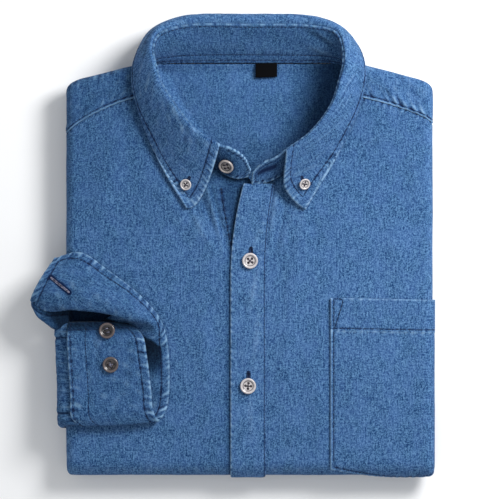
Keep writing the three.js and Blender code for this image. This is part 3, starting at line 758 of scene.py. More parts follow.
def front_relief(across, along):
    """Height of the fronts' ridges, creases and slight unevenness."""
    height = ridges(FRONT_RIDGES, across, along) + ridges(FRONT_CREASES, across, along)
    return height + 0.16 * unevenness(across, along, 11, 46) + 0.05 * unevenness(across, along, 12, 13)


def seam_puckers(u, v, line, seed, spacing=4.6, reach=5.0, slant=0.25):
    """Puckers beside a seam: an uneven wave along it that fades as a bell with the distance from it."""
    gap, place = near_line(u, v, line)
    return ripple(place + slant * gap, seed, spacing) * bell(gap, reach), gap


# Collar sections from the end of the stand on the shirt's right round the back to the other end:
# foot and top of the stand, then the leaf's reach above the top, its belly and its edge
COLLAR_SECTIONS = [
    ((-1.5, 67, 27), (0.5, 71.5, 31)),
    ((-8, 66, 26), (-4, 80.5, 36)),
    ((-16, 68, 25.5), (-13, 86.5, 39.5)),
    ((-25.5, 74.5, 25), (-22, 89, 41), 9, (-28.5, 68, 33.5), (-45.5, 45.5, 26.8)),
    ((-41, 91, 24.3), (-39.5, 100, 42.5), 8, (-49.5, 85, 35.5), (-59, 68.5, 26.8)),
    ((-58.5, 114, 23.5), (-55.5, 120, 43), 7, (-64.5, 108, 37.5), (-71.5, 94.5, 26.6)),
    ((-68, 130, 22.5), (-64.5, 135, 42.5), 7, (-74, 127, 38.5), (-78.5, 116, 26.6)),
    ((-71.5, 142, 20), (-68.5, 149, 41), 7, (-78.5, 144, 36), (-81.5, 137, 27.2)),
    ((-69, 148, 16.5), (-70, 158, 38), 7, (-77.5, 158.5, 31), (-80, 152.5, 22.8)),
    ((-58, 149.5, 13.3), (-66, 169, 34.5), 8, (-71.5, 173, 21), (-69, 166, 5)),
    ((-40, 149.5, 12.3), (-48, 176, 30), 11, (-50, 182.5, 18.5), (-46, 171.5, 2.4)),
    ((0, 149.5, 12), (0, 177, 28), 12, (0, 184.4, 18), (0, 172.5, 2.4)),
    ((40, 149.5, 12.3), (47, 175.7, 30), 11, (50, 182, 18.5), (47, 171, 2.4)),
    ((58, 149.5, 13.3), (62.5, 171, 34), 8, (70, 172.5, 21), (69, 165.5, 5)),
    ((69, 147, 16.5), (67.5, 160, 38), 7, (76, 159.5, 31), (79, 152.5, 22.8)),
    ((72, 141, 20), (68, 149, 41), 7, (77.5, 144, 36), (80.5, 137, 27.2)),
    ((69.5, 126, 22.5), (64.5, 134, 42.5), 7, (73, 130, 38.5), (78.5, 120, 26.6)),
    ((60.5, 107.5, 23.8), (58.5, 117, 43), 7, (66.5, 111, 37.5), (72, 102, 26.6)),
    ((45, 88.5, 24.7), (44, 98, 42.5), 8, (52, 88.5, 35.5), (58.5, 76, 26.8)),
    ((29, 73, 25.4), (27, 86, 41), 9, (28.5, 64, 33.5), (39.5, 45, 26.8)),
    ((17, 65, 26), (19, 80.5, 38)),
    ((8.5, 62.5, 26.5), (9.5, 76.5, 34.5)),
    ((2, 61, 27), (2.5, 70, 31.5)),
]
COLLAR_FEET = np.array([section[0] for section in COLLAR_SECTIONS], float)
COLLAR_TOPS = np.array([section[1] for section in COLLAR_SECTIONS], float)
LEAF_SECTIONS = [section for section in COLLAR_SECTIONS if len(section) > 2]


def neck_line(x):
    """Height in plan of the stand's foot at a place across the front, from its curve."""
    foot = spline(COLLAR_FEET, np.linspace(0, 1, 400))
    right = foot[: int(np.argmin(foot[:, 0])) + 1][::-1]
    left = foot[int(np.argmax(foot[:, 0])):][::-1]
    front = np.concatenate([right, left])
    order = np.argsort(front[:, 0])
    return np.interp(x, front[order, 0], front[order, 1])


def front_panel(side):
    """One front: from under the placket round the side fold, and from the hem's underside to the yoke.

    Between the foot of the stand and the yoke's seam its top edge is the lower of the two.
    """
    inner = 5.0 + 0.4 * side
    reach = side * fine_steps((side * inner, SIDE_START, 96), (SIDE_START, SIDE_END, 15))
    share = fine_steps((0, 0.09, 22), (0.09, 1, 170))[:, None]
    across = np.broadcast_to(reach, (len(share), len(reach)))
    seam = yoke_seam_along(np.where(np.abs(across) < 73, side * 73.0, across)) + 1.4
    top = np.minimum(np.where(np.abs(across) < 70, neck_line(across) + 1.0, 1e3), seam)
    low = HEM_END + 0.9 * np.maximum(0, np.abs(across) - SIDE_START)
    along = mix(low, top, share)
    line = yoke_line(side)
    puckers, gap = seam_puckers(across, along, line, 21 + side, reach=6.0)
    under = smoothstep(4.2 - gap * np.sign(seam - 1.4 - along), 1.6, 4.2) * (np.abs(across) > 66)
    height = front_relief(across, along) + 0.34 * puckers - 0.75 * under
    if side < 0:
        height = height - 0.7 * smoothstep(across, -22, -15) * smoothstep(along, 10, 30) * smoothstep(75 - along, 0, 6)
    cloth = Cloth(body_point(across, along, height), across, along)
    cloth.wear_and_painted_light = 0.7 * puckers - 0.5 * bell(gap - 0.8, 1.0)
    # Tone: darker towards the yoke, with painted shade on the shirt's right front, the side away from the light,
    # strongest towards its side fold.
    cloth.tone = 1.0 - 0.1 * smoothstep(along, 10, 110) - (0.03 if side < 0 else 0.0) + 0 * across
    cloth.tone = cloth.tone - 0.07 * smoothstep(-across, 20, 80) * smoothstep(along, -20, 40)
    # Painted highlights on the creases' ridges and painted shade in their troughs.
    cloth.wear_and_painted_light = cloth.wear_and_painted_light + 0.34 * ridges(FRONT_CREASES, across, along)
    # Painted shadow under the foot of the stand.
    stand_shadow = smoothstep(along, top - 8, top - 1) * smoothstep(40 - np.abs(across), 0, 10)
    cloth.tone = cloth.tone * (1 - 0.45 * stand_shadow)
    if side < 0:
        # Painted shadow of the placket's edge on the right front beside it.
        placket_edge = PLACKET_LEFT + placket_bend(along, 9.5)
        beside = bell(np.minimum(across - placket_edge + 1.0, 0), 2.4) * (along < PLACKET_TOP)
        cloth.tone = cloth.tone * (1 - 0.4 * beside)
        # Painted shade beside the collar point on the shirt's right, where the collar shades the front.
        cloth.tone = cloth.tone * (1 - 0.25 * bell(across + 27, 9) * bell(along - 56, 16))
        # Painted shadow in the gap under the cuff's turned end.
        slot = smoothstep(across, -136, -130) * smoothstep(-90 - across, 0, 8)
        slot = slot * smoothstep(along, -46, -40) * smoothstep(-24 - along, 0, 4)
        cloth.tone = cloth.tone * (1 - 0.85 * slot)
        stitch, gap_stitch = seam_puckers(across, along, UNDER_PLACKET, 31, reach=3.5)
        cloth.wear_and_painted_light = cloth.wear_and_painted_light + 0.4 * stitch - 0.8 * bell(gap_stitch, 1.3)
        # Painted shade in the valley between this stitching and the placket's edge.
        stitch_x = np.interp(along, [15.5, 36.7, 51.5, 60.1, 70], [-12.9, -16.9, -19.4, -20.5, -21.5])
        hidden = smoothstep(across, stitch_x - 2, stitch_x + 3) * smoothstep(along, 8, 26)
        cloth.tone = cloth.tone * (1 - 0.46 * hidden)
    cloth.wear_and_painted_light = cloth.wear_and_painted_light + 0.35 * bell(np.abs(across) - SIDE_START - 6, 3.0) * (
        0.5 + 0.5 * ripple(along, 41 + side, 9))
    cloth.wear_and_painted_light = cloth.wear_and_painted_light + 0.35 * bell(HEM_START - along - 8, 3.5) * (0.5 + 0.5 * ripple(across, 43 + side, 9))
    return cloth


# The first stitch line under the placket's edge on the shirt's right front, over the cloth
UNDER_PLACKET = [(-20.5, 60.1), (-19.4, 51.5), (-16.9, 36.7), (-12.9, 15.5)]


def yoke_strip(side):
    """The yoke beside the neck: from its front seam over the shoulder fold, round the side fold."""
    reach = side * fine_steps((72.5, SIDE_START, 56), (SIDE_START, SIDE_END, 15))
    share = fine_steps((0, 0.3, 22), (0.3, 1, 34))[:, None]
    across = np.broadcast_to(reach, (len(share), len(reach)))
    seam = yoke_seam_along(across) + 0.1
    end = SHOULDER_END - 0.9 * np.maximum(0, np.abs(across) - SIDE_START)
    along = mix(seam, end, share)
    puckers, gap = seam_puckers(across, along, yoke_line(side), 51 + side, spacing=6.5, reach=8.0, slant=0.7)
    hold = smoothstep(gap, 0, 1.6)
    folds = ridges(YOKE_CREASES, across, along) + 0.2 * unevenness(across, along, 13, 30)
    strength = 0.5 if side > 0 else 0.25
    height = 0.3 + strength * puckers * hold - 0.3 * bell(gap - 1.9, 0.8) - 0.3 * smoothstep(gap, 3, 9) + 1.4 * folds * hold
    cloth = Cloth(body_point(across, along, height), across, along)
    shoulder = ripple(across, 55 + side, 7) * bell(along - SHOULDER_START - 6, 5.0)
    cloth.wear_and_painted_light = 1.6 * strength * puckers * hold + 1.0 * bell(gap, 0.8) - 0.9 * bell(gap - 1.9, 0.5) + 0.5 * shoulder
    cloth.wear_and_painted_light = cloth.wear_and_painted_light + 0.35 * unevenness(across, along, 57 + side, 9) * hold
    # Tone: painted shade. The yoke on the shirt's right, away from the light, is much darker than the left one.
    cloth.tone = np.full(cloth.wear_and_painted_light.shape, 0.94 if side > 0 else 0.71)
    return cloth


# Creases of the yoke, in the form of the fronts' ridges
YOKE_CREASES = [
    (-96, 134, 160, 40, 9, 0.5),
    (-116, 124, 30, 30, 8, 0.45),
    (-84, 140, 80, 18, 7, -0.35),
    (92, 137, 20, 44, 9, 0.5),
    (112, 128, 150, 34, 8, 0.45),
    (84, 131, 100, 20, 7, -0.35),
]


def placket_band():
    """The buttoned band: a folded strip over both fronts, its edges leaning together above the first button."""
    along = fine_steps((HEM_END, HEM_START, 20), (HEM_START, PLACKET_TOP, 190))[:, None]
    share = fine_steps((0, 0.1, 5), (0.1, 0.9, 18), (0.9, 1, 5))[None, :]
    left = PLACKET_LEFT + placket_bend(along, 9.5)
    right = PLACKET_RIGHT + placket_bend(along, 6.5)
    across = mix(left, right, share)
    width = right - left
    from_left = share * width
    from_right = (1 - share) * width
    edge = np.minimum(from_left, from_right)
    puckers = ripple(along + 0.4 * from_left, 61, 5.2) * bell(from_left, 4.0)
    puckers = puckers + ripple(along - 0.4 * from_right, 62, 5.2) * bell(from_right, 4.0) * smoothstep(from_right, 1.2, 3)
    valley = bell(from_right - 0.6, 0.5)
    raised = 1.1 * smoothstep(along, 8, 60)
    height = front_relief(across, along) * 0.8 + SEAM_GAP + PLACKET_WALL + 0.16 * puckers - 0.3 * valley
    height = height - 0.45 * bell(edge, 0.5) + raised + 0.25 * ridges(PLACKET_CREASES, across, along)
    cloth = Cloth(body_point(across, along, height), across, along + 400)
    cloth.wear_and_painted_light = 0.45 * puckers + 0.85 * bell(from_left, 0.75) - 0.9 * valley
    # Painted highlights and shade along the placket's creases, and painted light that makes the whole band lighter.
    cloth.wear_and_painted_light = cloth.wear_and_painted_light + 0.3 * ridges(PLACKET_CREASES, across, along)
    cloth.tone = np.full(cloth.wear_and_painted_light.shape, 1.05)
    return cloth


# Creases of the placket, in the form of the fronts' ridges
PLACKET_CREASES = [
    (3, -14, 78, 40, 5, 1.2),
    (-3, -26, 100, 30, 4, -1.2),
    (5, -48, 84, 44, 5, 1.0),
    (-6, -60, 96, 34, 4, -0.9),
    (6, 26, 70, 30, 5, 1.0),
    (9, 44, 80, 26, 4, -1.0),
    (1, -104, 92, 36, 5, 0.9),
    (-7, -118, 84, 28, 4, -0.8),
]


def pocket_cloth():
    """The breast pocket: over the left front and round the side fold, with its pointed foot past the hem."""
    reach = fine_steps((POCKET_LEFT, POCKET_LEFT + 12, 20), (POCKET_LEFT + 12, SIDE_START, 50), (SIDE_START, SIDE_END - 2, 14))
    share = fine_steps((0, 0.16, 26), (0.16, 0.82, 66), (0.82, 1, 34))[:, None]
    across = np.broadcast_to(reach, (len(share), len(reach)))
    top = POCKET_TOP - 0.02 * (across - POCKET_LEFT)
    foot = pocket_foot(across)
    along = mix(foot, top, share)
    from_left = across - POCKET_LEFT
    from_top = top - along
    from_foot = along - foot
    edge = np.minimum(from_left, from_foot)
    puckers = ripple(along + 0.3 * from_left, 71, 5.0) * bell(from_left, 4.5) * smoothstep(from_left, 0.8, 3.6)
    puckers = puckers + 0.8 * ripple(across, 72, 5.0) * bell(from_foot, 4.5)
    hem = 0.7 * ripple(across + 0.3 * from_top, 73, 5.5) * bell(from_top - POCKET_HEM, 4.0)
    hem = hem + 0.6 * ripple(across, 74, 5.5) * bell(from_top, 3.0)
    folded = smoothstep(POCKET_HEM + 0.8 - from_top, -0.6, 0.8)
    height = front_relief(across, along) + SEAM_GAP + CLOTH_WALL + 0.25 + 0.35 * folded + 0.24 * puckers + 0.2 * hem
    height = height + 0.25 * bell(edge, 1.0) - 0.3 * bell(edge - 2.0, 0.7) - 0.25 * bell(from_top - POCKET_HEM + 1.2, 0.6)
    height = height + 0.3 * ridges(POCKET_CREASES, across, along)
    cloth = Cloth(body_point(across, along, height), across + 300, along)
    cloth.wear_and_painted_light = 0.45 * (puckers + hem) + 0.6 * bell(edge, 0.8) + 0.5 * bell(from_top, 0.8)
    cloth.wear_and_painted_light = cloth.wear_and_painted_light - 0.9 * bell(edge - 2.0, 0.55) - 0.9 * bell(from_top - POCKET_HEM + 1.2, 0.5)
    cloth.wear_and_painted_light = cloth.wear_and_painted_light + 0.5 * bell(from_top - POCKET_HEM - 0.9, 0.8)
    tack, _ = near_line(across, along, POCKET_TACK)
    cloth.wear_and_painted_light = cloth.wear_and_painted_light - 0.9 * bell(tack, 0.5)
    height_tack = bell(tack, 0.6)
    cloth.push(-0.15 * height_tack)
    return cloth


# Corner of the pocket's hem that is sewn to a triangle, over the cloth
POCKET_TACK = [(61.4, -20.4), (66.6, -20.6), (67.0, -22.6), (61.6, -40.6)]

# Creases of the pocket, in the form of the fronts' ridges
POCKET_CREASES = [
    (76, -70, 80, 60, 14, 1.6),
    (98, -96, 105, 50, 12, 1.4),
    (84, -126, 20, 40, 10, 1.2),
    (112, -60, 95, 60, 12, -1.2),
    (68, -100, 90, 50, 8, -1.0),
]


def collar_stand():
    """The stand: a straight line from its foot curve to its top curve at each station, pushed by puckers and creases.
    """
    places = np.linspace(0, 1, 361)
    heights = fine_steps((0, 1, 28))
    foot, top = spline(COLLAR_FEET, places), spline(COLLAR_TOPS, places)
    foot[:, 1] = foot[:, 1] + (NECK_SEAM_Y - NECK_BACK_Y) * smoothstep(foot[:, 1], 139, NECK_BACK_Y)
    points = mix(foot[:, None], top[:, None], heights[None, :, None])
    cloth = Cloth(points, arc_lengths(points, 0)[:, -1:], arc_lengths(points, 1) + 500)
    inward = np.array([0, 120, 0]) - points
    inward[..., 2] = 0
    if np.sum(inward[120:240] * cloth.normals[120:240]) < 0:
        cloth.normals = -cloth.normals
    run = arc_lengths(points, 0)
    up = arc_lengths(points, 1)
    down = up[:, -1:] - up
    puckers = ripple(run, 81, 5.0) * bell(up, 4.0) + ripple(run, 82, 5.5) * bell(down, 4.0)
    creases = ridges(STAND_CREASES, points[..., 0], points[..., 1])
    share = places[:, None]
    ends = smoothstep(np.abs(share - 0.5), 0.37, 0.41)
    height = up / up[:, -1:]
    # Painted shade of a groove at the stand's buttonhole end; the cloth has no groove there.
    groove_shade = smoothstep(share, 0.885, 0.91) * smoothstep(1 - share, 0.012, 0.03) * bell(height - 0.62, 0.16)
    tip = np.minimum(run, run[-1:] - run)
    cloth.push(0.14 * puckers + 1.3 * creases + 0.12 * unevenness(run, up, 83, 18))
    border = np.minimum(np.minimum(up, down), tip)
    end_puckers = ripple(run + up, 84, 4.2) * bell(border, 4.0) * ends
    cloth.push(0.22 * end_puckers)
    cloth.wear_and_painted_light = 0.4 * puckers + 0.4 * bell(down, 0.9) - 0.8 * bell(up - 6.4, 0.5) - 0.8 * bell(up - 1.8, 0.5)
    # Painted highlights and shade along the stand's creases.
    cloth.wear_and_painted_light = cloth.wear_and_painted_light - 0.5 * bell(down - 1.6, 0.5) + 0.5 * creases
    at_end = 0.8 * end_puckers + 0.8 * bell(border, 0.8) - 0.9 * bell(border - 2.4, 0.5) - 1.1 * groove_shade
    cloth.wear_and_painted_light = mix(cloth.wear_and_painted_light, at_end, ends)
    # Tone: painted shade. The stand is darker than the fronts, its middle more than its ends, with a painted shadow
    # round the neck button.
    neck_button_shadow = bell(np.maximum(np.hypot(points[..., 0] + 17.6, points[..., 1] - 74.6) - 5.0, 0), 3.5)
    cloth.tone = mix(0.8, 0.86, ends) * (1 - 0.5 * neck_button_shadow) + 0 * run
    return cloth, up, down, run


# Creases of the stand's inside, seen from above: centre x, y, heading, length, width, height
STAND_CREASES = [
    (52, 160, 160, 22, 5, 0.8),
    (57, 167, 150, 18, 4, 0.7),
    (48, 169, 155, 16, 4, -0.5),
    (-56, 160, 60, 20, 6, 0.5),
    (20, 160, 178, 40, 7, 0.35),
    (-20, 164, 4, 46, 7, 0.35),
]


def collar_leaf():
    """The leaf: a cubic from the stand's top, going on in the stand's direction, through its belly to its edge."""
    steps = np.linspace(0, 1, 61)[:, None]
    lines = []
    for foot, top, reach, belly, edge in LEAF_SECTIONS:
        foot, top, belly, edge = (np.array(point, float) for point in (foot, top, belly, edge))
        lean = unit(top - foot)
        root = top + lean * 0.2
        rise = top + lean * (0.85 + reach)
        start = top + lean * 0.85
        approach = (belly - 0.125 * start - 0.375 * rise - 0.125 * edge) / 0.375
        cubic = (1 - steps) ** 3 * root + 3 * (1 - steps) ** 2 * steps * rise
        lines.append(cubic + 3 * (1 - steps) * steps**2 * approach + steps**3 * edge)
    lines[-1] = spline(np.array(LEFT_LEAF_END, float), steps[:, 0])
    stations = fine_steps((0, 0.08, 50), (0.08, 0.92, 330), (0.92, 1, 50))
    points = spline(lines, stations)
    down = arc_lengths(points, 1)
    from_edge = down[:, -1:] - down
    run = arc_lengths(points, 0)
    from_end = np.minimum(run, run[-1:] - run)
    cloth = Cloth(points, run[:, 30:31], down + 700)
    centre = points - np.array([0, 120, 20])
    if np.sum(centre * cloth.normals) < 0:
        cloth.normals = -cloth.normals
    border = np.minimum(from_edge, from_end)
    along = np.where(from_edge < from_end, run, down)
    strength = 0.75 + 0.5 * unevenness(run, down, 96, 16)
    puckers = 0.65 * ripple(along + 0.35 * border, 91, 5.0) + 0.5 * ripple(along + 0.5 * border, 97, 3.3)
    puckers = puckers * bell(border - 1.5, 5.0) * strength
    roll = ripple(run, 93, 8.0) * bell(down - 9, 6.0)
    soft = unevenness(run, down, 94, 24)
    cloth.push(0.26 * puckers + 0.18 * soft * smoothstep(border, 0, 8) + 0.12 * roll)
    thick = 1.35 + 0.55 * (1 - smoothstep(border, 5.2, 7.2)) - 0.55 * bell(border - LEAF_MARGIN, 0.75)
    cloth.wear_and_painted_light = 0.85 * puckers + 0.7 * bell(border, 0.8) - 1.0 * bell(border - LEAF_MARGIN, 0.6) + 0.3 * roll
    cloth.wear_and_painted_light = cloth.wear_and_painted_light + 0.3 * unevenness(run, down, 95, 10) + 0.25 * unevenness(run, 3 * down, 98, 26)
    # Tone: a little darker overall, with painted light towards the collar point on the shirt's right.
    cloth.tone = 0.94 + 0.08 * smoothstep(-points[..., 0], 20, 60) * smoothstep(points[..., 1], 120, 80)
    return cloth, thick, from_edge, from_end, run


LEAF_MARGIN = 6.0
# Front end of the leaf on the shirt's left, from the stand's top down to its point
LEFT_LEAF_END = [
    (27.1, 85.4, 40.5), (26.6, 85.0, 43.0), (25.9, 78.5, 41.6), (25.1, 71.0, 38.2), (24.8, 65.0, 34.6),
    (25.5, 60.4, 31.8), (27.8, 56.0, 29.4), (31.4, 51.4, 28.0), (35.6, 47.4, 27.1), (40.0, 44.6, 26.8),
]

# Cuff sections from the buttonhole end along the band to the button end, on its middle surface:
# wrist edge, crest, lip and the seam to the sleeve
CUFF_SECTIONS = np.array([
    [(-140, 8.5, 26.2), (-149, -6, 33.5), (-154.5, -16.5, 33.5), (-156.5, -21.5, 30.5)],
    [(-122, 12.5, 26.2), (-135, -9, 37), (-143, -23, 36), (-146, -28.5, 31.5)],
    [(-101, -1, 26.2), (-112, -15, 39), (-121, -27.5, 37.5), (-123.5, -27, 30.5)],
    [(-82, -15.5, 26.2), (-92, -23.5, 39), (-102, -30, 37.5), (-108, -27, 29.5)],
    [(-69.5, -28.5, 26.2), (-76, -32, 37), (-85, -35, 36.5), (-96, -30, 29)],
    [(-62.5, -40, 26.2), (-68, -41, 32.5), (-75, -40, 29), (-104, -36, 27)],
    [(-59, -57, 26.2), (-72, -57.5, 27), (-92, -57.5, 26.3), (-113.5, -57.5, 26.2)],
    [(-58.3, -84, 26.2), (-75, -85, 26.4), (-94, -85.5, 26.2), (-113, -86, 26.2)],
    [(-60.5, -100, 26.3), (-78, -102, 26.4), (-96, -102.5, 26.3), (-114.6, -103, 26.3)],
    [(-65.5, -107.3, 29.8), (-83, -109.6, 30.1), (-101, -110.6, 30.1), (-120.2, -111, 29.9)],
    [(-69.5, -100.5, 33.4), (-87, -103, 33.9), (-106, -104, 34), (-126.8, -105, 34.3)],
    [(-71, -86, 33.6), (-88, -87.5, 34.2), (-107, -88.5, 34.2), (-127.6, -89.5, 34.6)],
    [(-74, -62, 33.5), (-90, -63, 34), (-109, -63.5, 34), (-129.2, -64, 34.5)],
    [(-77.5, -46, 32.6), (-93, -46.5, 33), (-110, -46.8, 33), (-130, -47, 33.9)],
    [(-87, -38, 31.2), (-100, -37.4, 31.6), (-112, -37.2, 31.6), (-129.5, -37.5, 32.4)],
], float)
CUFF_MARGIN = 5.2
# Lower edge of the turned end over the cuff: the band lies in its shadow below this line
CUFF_LIP = [(-107.6, -29.9), (-89.6, -37.8), (-81.0, -43.6), (-69.5, -48.6), (-66.0, -52.0)]
# Creases of the cuff, in the form of the stand's creases
CUFF_CREASES = [
    (-124, -12, 135, 26, 4, 0.5),
    (-118, -8, 120, 24, 4, -0.5),
    (-128, -20, 150, 22, 4, -0.45),
    (-136, -18, 160, 18, 4, 0.5),
    (-142, -6, 100, 16, 4, 0.4),
    (-108, -18, 140, 24, 5, 0.4),
    (-111, -54, 100, 18, 4, 0.5),
    (-106, -60, 80, 22, 3.5, -0.5),
    (-116, -74, 95, 24, 4, 0.4),
    (-92, -88, 60, 22, 6, 0.35),
    (-84, -72, 85, 26, 5, -0.3),
]


def cuff_band():
    """The cuff: four curves through its sections, joined at each station by a curve across the band."""
    places = np.linspace(0, 1, 401)
    lines = spline(CUFF_SECTIONS, places)
    across = spline(lines.transpose(1, 0, 2), np.linspace(0, 1, 61))
    points = across.transpose(1, 0, 2)
    over = arc_lengths(points, 1)
    run = arc_lengths(points, 0)
    cloth = Cloth(points, over + 900, run[:, 30:31])
    flap = cloth.normals[20:100, 10:50].mean(axis=(0, 1))
    if flap[2] < 0:
        cloth.normals = -cloth.normals
    from_wrist = over
    from_seam = over[:, -1:] - over
    from_end = np.minimum(run, run[-1:] - run)
    border = np.minimum(from_wrist, from_end)
    along = np.where(from_wrist < from_end, run, over)
    puckers = ripple(along + 0.3 * border, 101, 4.6) * bell(border - 1.0, 4.6)
    seam = ripple(run + 0.3 * from_seam, 102, 5.0) * bell(from_seam, 6.0)
    soft = unevenness(run, over, 103, 22)
    creases = ridges(CUFF_CREASES, points[..., 0], points[..., 1]) * smoothstep(np.minimum(border, from_seam), 1, 7)
    cloth.push(0.24 * puckers + 0.24 * seam + 0.2 * soft * smoothstep(np.minimum(border, from_seam), 0, 9) + creases)
    thick = 1.45 + 0.5 * (1 - smoothstep(border, 4.4, 6.2)) - 0.6 * bell(border - CUFF_MARGIN, 0.7)
    button_side = smoothstep(run / run[-1:], 0.5, 0.55)
    thick = thick - button_side * (0.45 * bell(from_seam - 1.6, 0.6) + 0.4 * bell(from_seam - 12.5, 0.7))
    cloth.wear_and_painted_light = 0.85 * puckers + 0.6 * seam + 0.7 * bell(border, 0.8) - 1.0 * bell(border - CUFF_MARGIN, 0.6)
    sewn = smoothstep(run / run[-1:], 0.5, 0.55)
    cloth.wear_and_painted_light = cloth.wear_and_painted_light - sewn * (0.9 * bell(from_seam - 1.6, 0.6) + 0.7 * bell(from_seam - 12.5, 0.5))
    cloth.wear_and_painted_light = cloth.wear_and_painted_light + 0.7 * bell(from_seam, 0.8) * sewn + 0.35 * unevenness(run, over, 104, 9)
    # Painted highlights and shade along the cuff's creases.
    cloth.wear_and_painted_light = cloth.wear_and_painted_light + 0.55 * creases
    share = run / run[-1:]
    # Painted shadow over the top of the button side under the turned end; lighter wear is taken out there too.
    turned_end_shadow = sewn * smoothstep(points[..., 1], -48, -39)
    hole = np.hypot(points[..., 0] + 135.2, points[..., 1] + 10.2)
    hole_across = np.abs(0.61 * (points[..., 0] + 135.2) + 0.79 * (points[..., 1] + 10.2))
    cloth.wear_and_painted_light = cloth.wear_and_painted_light - 2.2 * bell(hole_across, 1.8) * smoothstep(11.0 - hole, 0, 2) * (share < 0.3)
    cloth.wear_and_painted_light = cloth.wear_and_painted_light * (1 - 0.8 * turned_end_shadow)
    # Painted shadow inside the fold below the turned end's lip, deepest near the turned end; the whole cuff is also
    # darker as painted shade.
    lip = np.interp(points[..., 0], *zip(*CUFF_LIP))
    lip_shadow = smoothstep(lip - points[..., 1], -0.5, 2.5) * smoothstep(from_wrist, 2.5, 6.5)
    lip_shadow = lip_shadow * (1 - sewn) * smoothstep(share, 0.15, 0.25)
    cloth.tone = 0.84 * (1 - 0.85 * turned_end_shadow) * (1 - lip_shadow * mix(0.9, 0.5, smoothstep(-points[..., 1], 55, 85)))
    return cloth, thick, from_wrist, from_seam, run


# Sleeve rings: across and under, slant share, upper and lower edge, lift and height
SLEEVE_RINGS = np.array([
    (-120, -112.4, 1, -38.5, -110, 1.2, 6.3),
    (-125.4, -114.4, 1, -37.5, -111, 1.2, 7.5),
    (-128.6, -118.4, 0.8, -37.5, -111, 1.2, 8.5),
    (-131.0, -122, 0.45, -38.5, -111.5, 0.9, 8.4),
    (-132.6, -127, 0.2, -40, -112, 0.5, 7.4),
    (-134.7, -132, 0, -41.5, -113, 0.5, 6.2),
    (-137.5, -136.5, 0, -42.5, -114, 0.5, 4.8),
    (-140.5, -140.5, 0, -43, -114.5, 0.5, 3.9),
    (-143.5, -143.5, 0, -43, -114.5, 0.5, 3.4),
], float)
CUFF_SEAM_SLANT = 0.075
# Pleats that leave the cuff's seam: height over the cloth, how far they reach, and their depth
SLEEVE_PLEATS = [(-46.5, 26, 1.3), (-100.0, 26, 1.3), (-106, 20, 0.8), (-73, 18, 0.5), (-58, 16, 0.35)]


def sleeve_tube():
    """The sleeve: a flattened tube whose ring is two flat runs joined by half circles, laid on the body."""
    rings = spline(SLEEVE_RINGS, np.linspace(0, 1, 64))
    across, under, slant, upper, lower, lift, height = (rings[:, column, None] for column in range(7))
    rounding = height / 2
    turn = np.linspace(0, np.pi, 13)[None, 1:-1]
    flat = np.linspace(0, 1, 70)[None, :]
    low_y, high_y = lower + rounding, upper - rounding
    y = np.concatenate([
        mix(high_y, low_y, flat), low_y - rounding * np.sin(turn),
        mix(low_y, high_y, flat), high_y + rounding * np.sin(turn),
    ], axis=1)
    up = np.concatenate([
        height + 0 * flat, rounding + rounding * np.cos(turn),
        0 * (height + flat), rounding - rounding * np.cos(turn),
    ], axis=1)
    share = np.clip(up / height, 0, 1)
    top = across - slant * CUFF_SEAM_SLANT * (y - lower)
    place = mix(under, top, share)
    travel = np.abs(place - place[:1])
    fade = np.linspace(1, 0, len(rings))[:, None]
    pleats = np.zeros_like(y)
    for height_y, reach, depth in SLEEVE_PLEATS:
        pleats = pleats - depth * bell(y - height_y + 0.25 * travel, 1.3) * bell(travel, reach)
        pleats = pleats + 0.6 * depth * bell(y - height_y - 2.4 + 0.25 * travel, 1.6) * bell(travel, reach)
    uneven = 0.25 * unevenness(travel, y, 111, 14) * smoothstep(travel, 0, 3)
    points = body_point(place, y, lift + up + (pleats * fade + uneven) * smoothstep(share, 0.5, 1.0))
    cloth = Cloth(points, travel + 1100, y, ring=True)
    if np.sum(cloth.normals[20, :60, 2] + cloth.normals[20, :60, 0] * -1) < 0:
        cloth.normals = -cloth.normals
    cloth.wear_and_painted_light = 0.8 * pleats + 0.5 * ripple(y, 112, 4.6) * bell(travel - 6, 5.0) + 0.3 * unevenness(travel, y, 113, 8)
    # Tone: painted shade that makes the whole sleeve darker.
    cloth.tone = np.full(cloth.wear_and_painted_light.shape, 0.84)
    return cloth


def sleeve_slit():
    """The slit's edge: a square curve from the cuff's seam, out over a fold and in under the turned end."""
    share = np.linspace(0, 1, 40)[None, :, None]
    table = spline(np.array(SLIT_SECTIONS, float), np.linspace(0, 1, 90))
    start, fold, tuck = (table[:, None, column] for column in range(3))
    points = (1 - share) ** 2 * start + 2 * (1 - share) * share * fold + share**2 * tuck
    run, over = arc_lengths(points, 0), arc_lengths(points, 1)
    cloth = Cloth(points, run, over + 1300)
    cloth.push(0.5 * unevenness(run, over, 121, 9) * smoothstep(over, 1, 6))
    cloth.wear_and_painted_light = 0.5 * ripple(run, 122, 4.5) * bell(over, 4.0) + 0.4 * bell(over, 1.0) - 0.1
    cloth.wear_and_painted_light = cloth.wear_and_painted_light - 0.8 * bell(over - 3.0, 0.6) + 0.5 * bell(over - 4.6, 0.9)
    # Tone: painted shadow. The edge is darker overall and near black where it runs in under the turned end.
    cloth.tone = 0.75 * (1 - 0.85 * smoothstep(points[..., 0] + 0.8 * points[..., 1], -178, -166))
    return cloth


